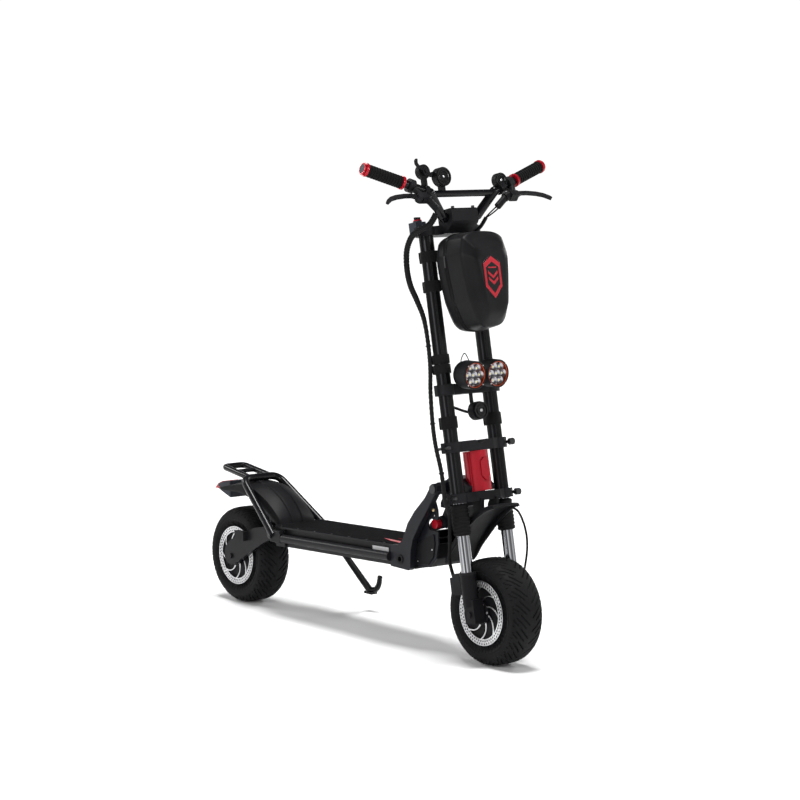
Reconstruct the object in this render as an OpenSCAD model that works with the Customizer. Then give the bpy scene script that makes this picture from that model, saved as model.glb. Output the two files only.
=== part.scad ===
// Off-road electric kick scooter with twin stems, suspension at both ends and a hard bag.
// +X is forward, +Y is the rider's left, +Z is up; the floor is z = 0.

/* [Wheels] */
// Overall tyre width
tyre_w = 104; // [98:1:104]
// Brake disc diameter
rotor_d = 170; // [150:1:170]
// Radius of both wheel axles
axle_r = 8; // [6:0.5:9]

/* [Deck] */
// Width of the grip mat
mat_w = 156; // [140:2:158]
// Height of the ribs on the grip mat
rib_h = 1.6; // [1:0.2:2]
// Diameter of the side rails
rail_d = 24; // [20:1:24]

/* [Front] */
// Outer diameter of the two long stems
stem_d = 38; // [34:1:38]
// Depth of the grooves along the stems
groove_r = 2; // [1:0.2:2.4]
// Diameter of the chromed fork tubes
fork_d = 32; // [28:1:32]
// Radius of the red steering head
head_r = 33; // [30:1:33]

/* [Handlebar] */
// Length of each rubber grip
grip_l = 104; // [90:1:104]
// Outer diameter of the grips
grip_d = 33; // [30:1:35]
// Diameter of the handlebar tube
bar_d = 22; // [21:0.5:22]

/* [Lamps] */
// Outer radius of each headlamp
lamp_r = 37; // [34:0.5:38]
// Radius of the horn
horn_r = 24; // [20:1:26]

/* [Hidden] */
$fn = 48;
XF = 558;
XR = -542;
R = 140;
RK = 11.22;
SX0 = 553.5;
SY = 75.2;
PY = SY + 27;
H = [408, 0, 450];
SP = [-330, 0, 232];
LE = [-396, 0, 208];
UE = [-372, 0, 296];
LATCH = [376, 0, 350];
BB = [78, 109, 1086];
BE = [58.3, 300, 1154];
LH = [27, 0, 614];
LEV = [100, 162, 1070];
THR = [80, 121, 1141];
KP = [-43, -62, 1008];
STP = [-215, 84, 190];
STF = [-192, 172, 62];
SA = [0, 0.857, 0.515];
BAGH = [70, 0, 699.6];
gap = 0.05;

// ---- helpers ----
module along(p, q) {
  v = q - p;
  translate(p) rotate([0, acos(v[2] / norm(v)), atan2(v[1], v[0])]) children();
}
module rod(p, q, d) {
  along(p, q) cylinder(h = norm(q - p), d = d);
}
module path(pts, d) {
  for (i = [0:len(pts) - 2]) rod(pts[i], pts[i + 1], d);
  for (i = [1:len(pts) - 2]) translate(pts[i]) sphere(d = d + 0.7);
}
module ycyl(p, r, y0, y1) {
  translate([p[0], y0, p[2]]) rotate([-90, 0, 0]) cylinder(h = y1 - y0, r = r);
}
module ucyl(p, r, l) {
  translate(p) rotate([0, 90, 0]) cylinder(h = l, r = r);
}
module side_plate(pts, y0, y1) {
  translate([0, y1, 0]) rotate([90, 0, 0]) linear_extrude(y1 - y0) polygon(pts);
}
module steer() {
  translate([SX0, 0, R]) rotate([0, -RK, 0]) children();
}
module deckf() {
  translate([-300, 0, 204]) rotate([0, -2, 0]) children();
}
module stand_frame() {
  along(STP, STP + SA) children();
}
module both() {
  children();
  mirror([0, 1, 0]) children();
}
module ring(r1, r0, h) {
  difference() {
    cylinder(h = h, r = r1);
    translate([0, 0, -1]) cylinder(h = h + 2, r = r0);
  }
}
function cross3(a, b) = [a[1] * b[2] - a[2] * b[1], a[2] * b[0] - a[0] * b[2], a[0] * b[1] - a[1] * b[0]];
function unit(v) = v / norm(v);
// smooth curve through hand-chosen points, k steps for each span
function cr(a, b, c, d, t) = 0.5 * (2 * b + (c - a) * t + (2 * a - 5 * b + 4 * c - d) * t * t
  + (3 * b - a - 3 * c + d) * t * t * t);
function smooth(p, k) = [for (i = [0:len(p) - 2]) for (j = [0:k - 1])
  cr(p[max(i - 1, 0)], p[i], p[i + 1], p[min(i + 2, len(p) - 1)], j / k), p[len(p) - 1]];
module hose(pts, r, n) {
  m = len(pts);
  dirs = [for (i = [0:m - 1]) unit(pts[min(i + 1, m - 1)] - pts[max(i - 1, 0)])];
  ring_pts = [for (i = [0:m - 1]) let (a = unit(cross3(dirs[i], [0.13, 1, 0.21])), b = cross3(dirs[i], a))
    for (j = [0:n - 1]) pts[i] + r * cos(j * 360 / n) * a + r * sin(j * 360 / n) * b];
  sides = [for (i = [0:m - 2]) for (j = [0:n - 1])
    [i * n + j, i * n + (j + 1) % n, (i + 1) * n + (j + 1) % n, (i + 1) * n + j]];
  polyhedron(ring_pts, concat([[for (j = [n - 1:-1:0]) j]], sides,
    [[for (j = [0:n - 1]) (m - 1) * n + j]]), convexity = 8);
}

// ---- deck ----
module deck_pan() {
  color([0.1, 0.1, 0.11]) difference() {
    union() {
      deckf() {
        translate([2.2, -76, 0]) cube([527.8, 152, 52]);
        both() translate([2.2, 76, 0]) cube([41.8, 6, 52]);
      }
      stand_frame() for (h = [-14, 9.2]) translate([-42, -12, h]) cube([52, 24, 4.8]);
    }
    deckf() translate([7.2, -71, 5]) cube([517.8, 142, 60]);
    deckf() translate([45.5, 88.5, 25]) rotate([0, 90, 0]) cylinder(h = 485, d = rail_d + 0.6);
    stand_frame() translate([0, 0, -20]) cylinder(h = 40, r = 5 + gap);
  }
}
module deck_lid() {
  color([0.12, 0.12, 0.12]) deckf() difference() {
    union() {
      translate([2.4, -84, 52.1]) cube([527.6, 168, 5]);
      translate([529, -68, 52.1]) cube([62, 136, 5]);
    }
    for (i = [0:6]) both() translate([30 + 78 * i, 81, 50]) cylinder(h = 10, r = 2.1);
  }
}
module grip_mat() {
  color([0.16, 0.16, 0.16]) deckf() {
    translate([4, -mat_w / 2, 57.2]) cube([522, mat_w, 2]);
    translate([525, -66, 57.2]) cube([63, 132, 2]);
    for (i = [0:14]) translate([8, -mat_w / 2 + 4 + i * (mat_w - 10) / 14, 59])
      cube([514, 2.2, rib_h + 0.2]);
  }
}
module side_rails() {
  color([0.2, 0.2, 0.21]) deckf() both() {
    translate([46, 88.5, 25]) rotate([0, 90, 0]) cylinder(h = 484, d = rail_d);
    translate([120, 77, 20]) cube([24, 6, 10]);
    translate([420, 77, 20]) cube([24, 6, 10]);
  }
}
module power_pack() {
  color([0.25, 0.3, 0.35]) deckf() {
    translate([20, -66, 5.1]) cube([400, 132, 40]);
    translate([435, -60, 5.1]) cube([80, 54, 34]);
    translate([435, 6, 5.1]) cube([80, 54, 34]);
  }
}
module deck_screws() {
  color([0.6, 0.6, 0.6]) {
    deckf() for (i = [0:6]) both() translate([30 + 78 * i, 81, 0]) {
      translate([0, 0, 57.2]) cylinder(h = 2, r = 2.7);
      translate([0, 0, 53]) cylinder(h = 4.3, r = 2);
    }
    for (p = [[-56, 232], [56, 232], [-56, 292], [56, 292]])
      translate([317.2, p[0], p[1]]) rotate([0, 90, 0]) cylinder(h = 2, r = 3.4);
  }
}
module charge_port() {
  color([0.08, 0.08, 0.08]) difference() {
    union() {
      ycyl([271, 0, 246], 11, -88.2, -72);
      ycyl([271, 0, 246], 13, -90, -88.1);
    }
    ycyl([271, 0, 246], 7, -91, -76);
  }
}
module neck_arms() {
  arm = [[231, 222], [305, 220], [313, 226], [315, 272], [323, 304], [349, 345], [379, 385], [398, 412],
    [414, 435], [H[0] + 16, H[2] - 4], [H[0] + 15, H[2] + 8], [H[0] + 5, H[2] + 15], [H[0] - 6, H[2] + 13],
    [374, 423], [330, 381], [302, 346], [288, 316], [278, 296], [262, 284], [231, 280]];
  color([0.16, 0.17, 0.2]) difference() {
    union() {
      both() side_plate(arm, 70, 88);
      translate([232, -71, 226]) cube([74, 142, 42]);
      side_plate([[306, 250], [306, 268], [290, 268], [290, 302], [304, 318], [312, 318], [312, 300],
        [300, 296], [300, 250]], -71, 71);
      side_plate([[304, 300], [312, 318], [352, 360], [384, 372], [392, 352], [384, 338], [352, 328],
        [318, 300]], -40, -28);
      translate([300, -40, 299]) cube([10, 12, 19]);
      side_plate([[304, 300], [312, 318], [345, 352], [352, 340], [322, 300]], 50, 71);
    }
    ycyl(H, 8 + gap, -100, 100);
    ycyl(LATCH, 5.08, -60, 60);
    ycyl([271, 0, 246], 11.1, -100, -60);
  }
}
module nose_cover() {
  color([0.1, 0.1, 0.12]) difference() {
    side_plate([[306.4, 223], [313, 223], [317, 228], [317, 296], [312.6, 299], [306.4, 296]], -69.8, 69.8);
    translate([316, -40, 240]) cube([3, 80, 2]);
    translate([316, -40, 282]) cube([3, 80, 2]);
  }
}
module pivot_pins() {
  color([0.7, 0.7, 0.72]) {
    ycyl(H, 8, -91, 91);
    ycyl(H, 12, 88.2, 92);
    ycyl(H, 12, -92, -88.2);
    ycyl(SP, 8, -82, 82);
    ycyl(SP, 12, 79.2, 83);
    ycyl(SP, 12, -83, -79.2);
    ycyl(UE, 6, -53, 53);
    ycyl(UE, 9, 50.2, 54);
    ycyl(UE, 9, -54, -50.2);
    stand_frame() {
      translate([0, 0, -15]) cylinder(h = 30, r = 5);
      translate([0, 0, 14.1]) cylinder(h = 2, r = 7.5);
      translate([0, 0, -16.1]) cylinder(h = 2, r = 7.5);
    }
  }
}

// ---- rear frame ----
module rear_bracket() {
  ear = [[-300.2, 216], [-300.2, 258], [-318, 254], [-338, 250], [-348, 242], [-350, 230], [-344, 218],
    [-332, 213]];
  top = [[-300.2, 248], [-300.2, 262], [-307.4, 262.1], [-312, 269], [-350, 302], [-364, 308],
    [-378, 307], [-385, 298], [-382, 287], [-370, 283], [-320, 254]];
  color([0.14, 0.14, 0.15]) difference() {
    union() {
      translate([-307, -79, 210]) cube([6.8, 158, 52]);
      both() side_plate(ear, 71, 79);
      both() side_plate(top, 43, 50);
    }
    ycyl(SP, 8 + gap, -90, 90);
    ycyl(UE, 6 + gap, -90, 90);
  }
}
module rear_hoop() {
  color([0.15, 0.15, 0.16]) {
    path([[-292, 97, 236], [-488, 62, 373], [-488, -62, 373], [-292, -97, 236]], 22);
    path([[-488, 36, 373], [-621, 36, 391], [-621, -36, 391], [-488, -36, 373]], 18);
    rod([-562, -36, 383], [-562, 36, 383], 12);
    both() translate([-304, 84.2, 218]) cube([48, 15, 34]);
  }
}
module rear_fender() {
  top = [[-301, 277], [-330, 306], [-360, 330], [-400, 348], [-440, 357], [-490, 358], [-540, 353],
    [-603, 339]];
  low = [[-603, 333], [-540, 347], [-490, 352], [-440, 351], [-400, 342], [-361, 324], [-331, 300],
    [-307, 276], [-307, 262.4], [-301, 262.4]];
  color([0.13, 0.13, 0.14]) {
    side_plate(concat(top, low), -52, 52);
    for (y = [-40, -14, 14, 40]) side_plate([[-330, 305], [-360, 329], [-400, 347], [-440, 356],
      [-440, 359], [-400, 351], [-361, 333], [-333, 309]], y - 4, y + 4);
    both() side_plate([[-380, 336], [-440, 354], [-490, 355], [-540, 350], [-600, 336], [-590, 318],
      [-520, 320], [-420, 318]], 48, 52);
  }
}
module tail_housing() {
  color([0.18, 0.19, 0.2]) side_plate([[-603.2, 341], [-603.2, 298], [-610, 298], [-664, 311], [-664, 335],
    [-640, 340]], -30, 30);
}
module tail_lens() {
  color([0.7, 0.05, 0.05]) intersection() {
    side_plate([[-664.2, 311.5], [-694, 316], [-698, 319], [-694, 323], [-664.2, 334.5]], -29, 29);
    translate([0, 0, 300]) linear_extrude(50) polygon([[-660, -29], [-672, -29], [-690, -20], [-698, -8],
      [-698, 8], [-690, 20], [-672, 29], [-660, 29]]);
  }
}
module swingarm() {
  arm = [[-322, 250], [-340, 251], [-380, 246], [-426, 237], [-522, 199], [-556, 180], [-572, 158],
    [-574, 134], [-562, 118], [-543, 114], [-520, 120], [-470, 150], [-405, 186], [-384, 198], [-350, 212],
    [-330, 214], [-316, 220], [-312, 232], [-315, 243]];
  color([0.12, 0.12, 0.13]) difference() {
    union() {
      both() side_plate(arm, 57, 69);
      ycyl(SP, 16, -58, 58);
      ycyl(LE, 8, -58, 58);
      ycyl([XR, 0, R], axle_r, -74, 74);
    }
    ycyl(SP, 8 + gap, -90, 90);
  }
}
module link() {
  v = LE - UE;
  translate(UE) rotate([0, 180 + atan2(-v[0], -v[2]), 0]) children();
}
LK = norm(LE - UE);
module shock_bodies() {
  color([0.1, 0.1, 0.1]) for (y = [-22.6, 22.6]) translate([0, y, 0]) link() difference() {
    union() {
      rotate([90, 0, 0]) cylinder(h = 18, r = 12, center = true);
      cylinder(h = 46, r = 13);
      translate([0, 0, 12]) cylinder(h = 4, r = 20);
    }
    translate([0, 0, 15]) cylinder(h = 40, r = 9);
    rotate([90, 0, 0]) cylinder(h = 30, r = 6 + gap, center = true);
  }
}
module shock_rods() {
  color([0.75, 0.75, 0.78]) for (y = [-22.6, 22.6]) translate([0, y, 0]) link() difference() {
    union() {
      translate([0, 0, LK]) rotate([90, 0, 0]) cylinder(h = 18, r = 12.5, center = true);
      translate([0, 0, 32]) cylinder(h = LK - 32, r = 7.5);
      translate([0, 0, LK - 19]) cylinder(h = 4, r = 20);
    }
    translate([0, 0, LK]) rotate([90, 0, 0]) cylinder(h = 30, r = 8 + gap, center = true);
  }
}
module shock_springs() {
  turns = 4.5;
  n = 54;
  color([0.75, 0.08, 0.08]) for (y = [-22.6, 22.6]) translate([0, y, 0]) link()
    hose([for (i = [0:n]) [17 * cos(360 * turns * i / n), 17 * sin(360 * turns * i / n),
      19 + (LK - 41.5) * i / n]], 2.2, 8);
}

// ---- wheels ----
module tyre(x) {
  h = tyre_w / 2;
  out = [[84, 35.8], [87.2, 35.8], [92, 42], [104, h - 2], [114, h], [124, h - 2], [132, h - 9],
    [137.5, h - 19], [R, h - 30]];
  inn = [[R - 8, h - 32], [129, h - 22], [124, h - 14], [114, h - 8], [104, h - 10], [94, 34], [88, 30],
    [84, 30]];
  pts = concat(out, [for (i = [len(out) - 1:-1:0]) [out[i][0], -out[i][1]]],
    [for (i = [len(inn) - 1:-1:0]) [inn[i][0], -inn[i][1]]], inn);
  color([0.07, 0.07, 0.07]) translate([x, 0, R]) rotate([90, 0, 0]) rotate_extrude($fn = 96) polygon(pts);
}
module front_tyre() {
  tyre(XF);
}
module rear_tyre() {
  tyre(XR);
}
module hub(x) {
  color([0.13, 0.13, 0.14]) translate([x, 0, R]) rotate([90, 0, 0]) rotate_extrude($fn = 96)
    polygon([[axle_r + gap, -48], [24, -48], [24, -44], [64, -43], [72, -40], [76, -38], [87, -36],
      [87, -35.9], [83.9, -35.9], [83.9, 35.9], [87, 35.9], [87, 36], [76, 38], [72, 40], [64, 43], [24, 44],
      [24, 49.3], [axle_r + gap, 49.3]]);
}
module front_hub() {
  hub(XF);
}
module rear_hub() {
  hub(XR);
}
module rotor(x) {
  ro = rotor_d / 2;
  color([0.75, 0.75, 0.77]) translate([x, -49.4, R]) rotate([90, 0, 0]) linear_extrude(2.2) difference() {
    union() {
      difference() {
        circle(r = ro, $fn = 96);
        circle(r = ro - 17, $fn = 96);
      }
      circle(r = 27);
      for (i = [0:5]) rotate(i * 60)
        polygon([[20, -5], [45, 4], [ro - 15, 26], [ro - 20, 34], [40, 14], [20, 6]]);
    }
    circle(r = 14);
    for (i = [0:23]) rotate(i * 15 + 4) translate([ro - 5 - (i % 3) * 4, 0]) circle(r = 2.2, $fn = 16);
  }
}
module front_rotor() {
  rotor(XF);
}
module rear_rotor() {
  rotor(XR);
}
module caliper(x, z) {
  translate([x, 0, z]) difference() {
    translate([-14, -66, -24]) cube([28, 28, 48]);
    translate([-20, -53.4, -40]) cube([40, 6, 80]);
    translate([-20, -48, -40]) cube([40, 4.4, 80]);
  }
}

// ---- fork ----
module fork_lowers() {
  ex = (XF - SX0) * cos(RK);
  ez = -(XF - SX0) * sin(RK);
  color([0.1, 0.1, 0.11]) steer() difference() {
    union() {
      both() {
        translate([0, SY, 20]) cylinder(h = 88, d = 42);
        translate([0, SY, 100]) cylinder(h = 8, d = 44);
        translate([ex - 19, SY - 20, ez - 24]) cube([38, 34, 62]);
      }
      translate([ex, -SY - 18, ez]) rotate([-90, 0, 0]) cylinder(h = 2 * SY + 36, r = axle_r);
      translate([-44, -92, 52]) cube([30, 14, 56]);
    }
    both() translate([0, SY, 39]) cylinder(h = 90, r = fork_d / 2 + gap);
  }
}
module front_caliper() {
  color([0.08, 0.08, 0.08]) steer() difference() {
    union() {
      translate([-72, -77.8, 54]) cube([27.8, 40, 44]);
      translate([-46, -77.8, 58]) cube([18, 9, 36]);
    }
    translate([-80, -53.2, 30]) cube([60, 5.6, 90]);
    translate([-80, -48, 30]) cube([60, 20, 90]);
  }
}
module rear_caliper() {
  color([0.08, 0.08, 0.08]) difference() {
    union() {
      translate([-502, -84, 196]) cube([44, 26.8, 26]);
      translate([-494, -84, 212]) cube([30, 36, 10]);
    }
    translate([-520, -69.3, 150]) cube([80, 13, 90]);
    translate([-520, -56.6, 150]) cube([80, 20, 90]);
  }
}
module stanchions() {
  color([0.85, 0.86, 0.9]) steer() both() translate([0, SY, 102]) cylinder(h = 320, d = fork_d);
}
module boots() {
  color([0.06, 0.06, 0.06]) steer() both() translate([0, SY, 203]) rotate_extrude()
    polygon(concat([[fork_d / 2 + gap, 0]], [for (i = [0:16]) [22 + 1.8 * (i % 2), 2 + 4.9 * i]],
      [[fork_d / 2 + gap, 83]]));
}
module stems() {
  color([0.13, 0.13, 0.14]) steer() both() translate([0, SY, 287]) linear_extrude(726) difference() {
    circle(d = stem_d);
    circle(d = fork_d + 0.6);
    for (a = [0:45:315]) rotate(a + 22.5) translate([stem_d / 2 + 0.6, 0]) circle(r = groove_r, $fn = 20);
  }
}
module clamp_shape(front, rear, lobe) {
  difference() {
    union() {
      for (s = [-1, 1]) translate([0, s * SY]) circle(r = lobe);
      polygon([[front, -40], [front, 40], [lobe - 6, SY - 4], [-lobe + 6, SY - 4], [rear, 34], [rear, -34],
        [-lobe + 6, -SY + 4], [lobe - 6, -SY + 4]]);
      for (s = [-1, 1]) translate([-6, s > 0 ? SY + lobe - 8 : -SY - lobe - 6]) square([12, 14]);
    }
    for (s = [-1, 1]) translate([0, s * SY]) circle(r = stem_d / 2 + gap);
  }
}
module pinch_holes(w) {
  for (s = [-1, 1]) translate([-40, s * PY, w]) rotate([0, 90, 0]) cylinder(h = 80, r = 4 + gap);
}
module lower_clamp() {
  color([0.12, 0.12, 0.13]) steer() difference() {
    union() {
      translate([0, 0, 288]) linear_extrude(24) clamp_shape(34, -22, 26);
      translate([0, 0, 290]) cylinder(h = 155, r = 14);
    }
    pinch_holes(300);
  }
}
module stem_clamps() {
  color([0.12, 0.12, 0.13]) steer() {
    translate([0, 0, 419]) difference() {
      linear_extrude(27) clamp_shape(32, -24, 26);
      translate([0, 0, -1]) cylinder(h = 40, r = 14 + gap);
      translate([-60, 0, 42]) rotate([0, 90, 0]) cylinder(h = 120, r = 24);
      pinch_holes(13);
    }
    difference() {
      union() {
        translate([0, 0, 568]) linear_extrude(28) clamp_shape(21, -12, 25);
        for (y = [-38.5, 38.5]) for (s = [-9, 5]) {
          side_plate([[14, 590], [25, 590], [31, 604], [33, 610], [27, 614], [14, 606]], y + s, y + s + 4);
          translate([LH[0], y + s, LH[2]]) rotate([-90, 0, 0]) cylinder(h = 4, r = 7);
        }
      }
      translate([LH[0], 0, LH[2]]) rotate([90, 0, 0]) cylinder(h = 120, r = 4 + gap, center = true);
      translate([-60, 0, 610]) rotate([0, 90, 0]) cylinder(h = 70, r = 22);
    }
  }
}
module top_clamp() {
  color([0.12, 0.12, 0.13]) steer() difference() {
    union() {
      translate([0, 0, 984]) linear_extrude(24) clamp_shape(30, -24, 26);
      side_plate([[20, 984.5], [44, 984.5], [74, 1006], [78, 1012], [78, 1042], [74, 1046], [24, 1046],
        [20, 1042]], -44, 44);
      translate([-30, -70, 986]) cube([10.8, 20, 18]);
    }
    translate([52, 0, 1024]) rotate([90, 0, 0]) cylinder(h = 120, r = 12.5 + gap, center = true);
  }
}
module clamp_bolts() {
  color([0.3, 0.3, 0.32]) steer() {
    for (w = [300, 432]) for (s = [-1, 1]) {
      translate([-26, s * PY, w]) rotate([0, 90, 0]) cylinder(h = 50, r = 4);
    }
    for (w = [300, 432]) translate([24.2, PY, w]) rotate([0, 90, 0]) cylinder(h = 12, r = 9);
    for (y = [-38.5, 38.5]) translate([LH[0], y - 11, LH[2]]) rotate([-90, 0, 0]) cylinder(h = 22, r = 4);
    for (y = [-34, 34]) for (u = [28, 72]) translate([u, y, 1046.2]) cylinder(h = 5, r = 4.5);
  }
}

// ---- steering head ----
module head_tube() {
  color([0.75, 0.05, 0.1]) steer() difference() {
    translate([0, 0, 313]) linear_extrude(105) difference() {
      circle(r = head_r, $fn = 72);
      circle(r = 24);
      for (a = [70, 100, 130, 230, 260, 290]) rotate(a) translate([head_r + 1.2, 0])
        circle(r = 3, $fn = 20);
    }
    translate([head_r - 2.4, -17, 335]) cube([10, 34, 66]);
  }
  color([0.8, 0.1, 0.1]) steer() translate([head_r - 2.3, 0, 368]) rotate([90, 0, 90]) linear_extrude(4)
    polygon([[0, 31], [14, 21], [14, -16], [0, -30], [-14, -16], [-14, 21]]);
}
module head_bearings() {
  color([0.7, 0.7, 0.7]) steer() for (w = [314, 405]) translate([0, 0, w]) ring(23.95, 14.06, 12);
}
module fold_knuckle() {
  out = [[H[0] - 10, H[2] + 16], [H[0] - 18, H[2] + 6], [H[0] - 18, H[2] - 8], [392, 418], [366, 372],
    [358, 356], [358, 344], [368, 336], [382, 336], [392, 346], [410, 384], [440, 410], [500, 412],
    [500, 462], [470, 480], [425, 481], [H[0] + 4, H[2] + 22]];
  color([0.16, 0.17, 0.19]) difference() {
    union() {
      intersection() {
        side_plate(out, -44, 44);
        union() {
          translate([386, -50, 395]) cube([150, 100, 100]);
          translate([340, -20, 320]) cube([120, 40, 90]);
        }
      }
      ycyl(H, 16, -69.6, 69.6);
    }
    steer() {
      cylinder(h = 700, r = head_r + gap);
      translate([-75, -120, 200]) cube([200, 240, 112.8]);
    }
    ycyl(H, 8 + gap, -100, 100);
    ycyl(LATCH, 5.08, -60, 60);
  }
}
module latch_pin() {
  color([0.75, 0.05, 0.08]) difference() {
    union() {
      ycyl(LATCH, 5, -44, -20.3);
      ycyl(LATCH, 13, -56, -41);
    }
    for (a = [0:30:330]) translate([LATCH[0] + 14 * cos(a), 0, LATCH[2] + 14 * sin(a)])
      ycyl([0, 0, 0], 2, -60, -40);
  }
}

// ---- handlebar and controls ----
module handlebar() {
  color([0.1, 0.1, 0.1]) steer() {
    path([[BB[0], -BB[1], BB[2]], [56, -60, 1028], [52, -50, 1024], [52, 50, 1024], [56, 60, 1028],
      BB], 25);
    both() {
      rod(BB, BE, bar_d);
      translate(BB) sphere(d = 26);
    }
    rod([77, -100, 1083], [77, 100, 1083], 18);
  }
}
module bar_side(s) {
  steer() mirror([0, s < 0 ? 1 : 0, 0]) along(BB, BE) children();
}
BL = norm(BE - BB);
module grips() {
  color([0.05, 0.05, 0.05]) for (s = [-1, 1]) bar_side(s) translate([0, 0, BL - grip_l - 9])
    difference() {
      union() {
        cylinder(h = grip_l, d = grip_d - 3);
        for (i = [0:12]) translate([0, 0, 2 + i * (grip_l - 7) / 12]) cylinder(h = 3.4, d = grip_d);
      }
      translate([0, 0, -1]) cylinder(h = grip_l + 2, r = bar_d / 2 + gap);
    }
}
module grip_rings() {
  color([0.75, 0.06, 0.08]) for (s = [-1, 1]) bar_side(s) {
    translate([0, 0, BL - 8.9]) ring(18, bar_d / 2 + gap, 7);
    translate([0, 0, BL - grip_l - 16.1]) ring(18, bar_d / 2 + gap, 7);
    translate([0, 0, BL + 0.1]) cylinder(h = 2.4, r = 15);
  }
}
LT = norm([LEV[0] - BB[0], LEV[1] - BB[1], LEV[2] - BB[2]]);
module master(s) {
  bar_side(s) translate([0, 0, 52]) ring(18, bar_d / 2 + gap, 16);
  steer() mirror([0, s < 0 ? 1 : 0, 0]) difference() {
    union() {
      rod([LEV[0] - 6, 128, 1066], [LEV[0] - 4, 150, 1074], 24);
      rod([86, 166, 1094], [98, 156, 1078], 16);
      rod([LEV[0] - 10, 104, 1044], [LEV[0] - 6, 130, 1066], 19);
      translate(LEV) rotate([0, 48.8, 0]) translate([0, 0, -11]) cylinder(h = 22, r = 10);
      translate(LEV) rotate([0, 48.8, 0]) translate([-10, -22, -11]) cube([20, 22, 22]);
    }
    translate(LEV) rotate([0, 48.8, 0]) translate([-13, -6, -5.5]) cube([26, 30, 11]);
    translate(LEV) rotate([0, 48.8, 0]) translate([0, 0, -5.5]) cylinder(h = 11, r = 11.5);
    along(BB, BE) cylinder(h = 200, r = bar_d / 2 + 0.6);
  }
  steer() mirror([0, s < 0 ? 1 : 0, 0]) translate(LEV) rotate([0, 48.8, 0]) translate([0, 0, -9])
    cylinder(h = 18, r = 3);
}
module brake_masters() {
  color([0.09, 0.09, 0.09]) {
    master(1);
    master(-1);
  }
}
module lever(s) {
  steer() mirror([0, s < 0 ? 1 : 0, 0]) translate(LEV) rotate([0, 48.8, 0]) difference() {
    union() {
      translate([0, 0, -5]) cylinder(h = 10, r = 9.5);
      translate([0, 0, -4]) linear_extrude(8) polygon([[-7, 0], [-14, 20], [-14, 46], [-10, 76], [-3, 98],
        [8, 114], [15, 118], [19, 113], [15, 107], [6, 93], [0, 73], [-4, 44], [-4, 24], [6, 4]]);
    }
    translate([0, 0, -12]) cylinder(h = 24, r = 3.05);
  }
}
module brake_lever_l() {
  color([0.1, 0.1, 0.1]) lever(1);
}
module brake_lever_r() {
  color([0.1, 0.1, 0.1]) lever(-1);
}
module bar_controls() {
  color([0.07, 0.07, 0.08]) steer() {
    difference() {
      union() {
        ucyl([70, -66, 1126], 25, 20);
        ucyl([66, -66, 1126], 21, 5);
        translate([70, -74, 1084]) cube([12, 16, 24]);
      }
      translate([77, -120, 1083]) rotate([-90, 0, 0]) cylinder(h = 200, r = 9 + gap);
    }
    ucyl([66, -THR[1], THR[2]], 19, 15);
    ucyl([80, -THR[1], THR[2]], 5, 12);
    translate([68, -96, 1128]) cube([11, 14, 12]);
    difference() {
      union() {
        translate([69, -THR[1] - 6, 1094]) cube([12, 12, 30]);
        mirror([0, 1, 0]) along(BB, BE) translate([0, 0, 8]) cylinder(h = 12, r = 16);
      }
      mirror([0, 1, 0]) along(BB, BE) translate([0, 0, -5]) cylinder(h = 60, r = bar_d / 2 + gap);
      translate([BB[0], -BB[1], BB[2]]) sphere(r = 13.2);
    }
    difference() {
      union() {
        ucyl([70, 131, 1114], 20, 17);
        along(BB, BE) translate([0, 0, 16]) cylinder(h = 18, r = 16);
      }
      along(BB, BE) translate([0, 0, -5]) cylinder(h = 80, r = bar_d / 2 + gap);
      translate([69, 124, 1118]) cube([7, 14, 10]);
    }
  }
}
module switch_button() {
  color([0.7, 0.1, 0.1]) steer() translate([66, 124.4, 1118.4]) cube([7, 13.2, 9.2]);
}
module throttle_trigger() {
  color([0.08, 0.08, 0.08]) steer() translate([81.4, -THR[1], THR[2]]) difference() {
    union() {
      rotate([0, 90, 0]) cylinder(h = 8, r = 11);
      translate([1, 0, 0]) rotate([90, 0, 90]) linear_extrude(6) polygon([[-4, 9], [-20, 16], [-24, 22],
        [-23, 32], [-27, 33], [-31, 28], [-31, 19], [-24, 9], [-9, 0]]);
    }
    translate([-1, 0, 0]) rotate([0, 90, 0]) cylinder(h = 12, r = 5 + gap);
  }
}
module key_pod() {
  color([0.25, 0.27, 0.3]) steer() difference() {
    union() {
      translate([KP[0] - 17, KP[1] - 17, KP[2] - 18]) cube([29.8, 34, 38]);
      translate([KP[0], KP[1], KP[2] + 19]) cylinder(h = 4, r = 12);
    }
    translate([KP[0], KP[1], KP[2] + 8]) cylinder(h = 30, r = 7.06);
  }
}
module key_knob() {
  color([0.06, 0.06, 0.06]) steer() translate([KP[0], KP[1], KP[2] + 8.4]) {
    cylinder(h = 16, r = 7);
    translate([-3, -9, 15]) cube([6, 18, 10]);
  }
}

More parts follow.
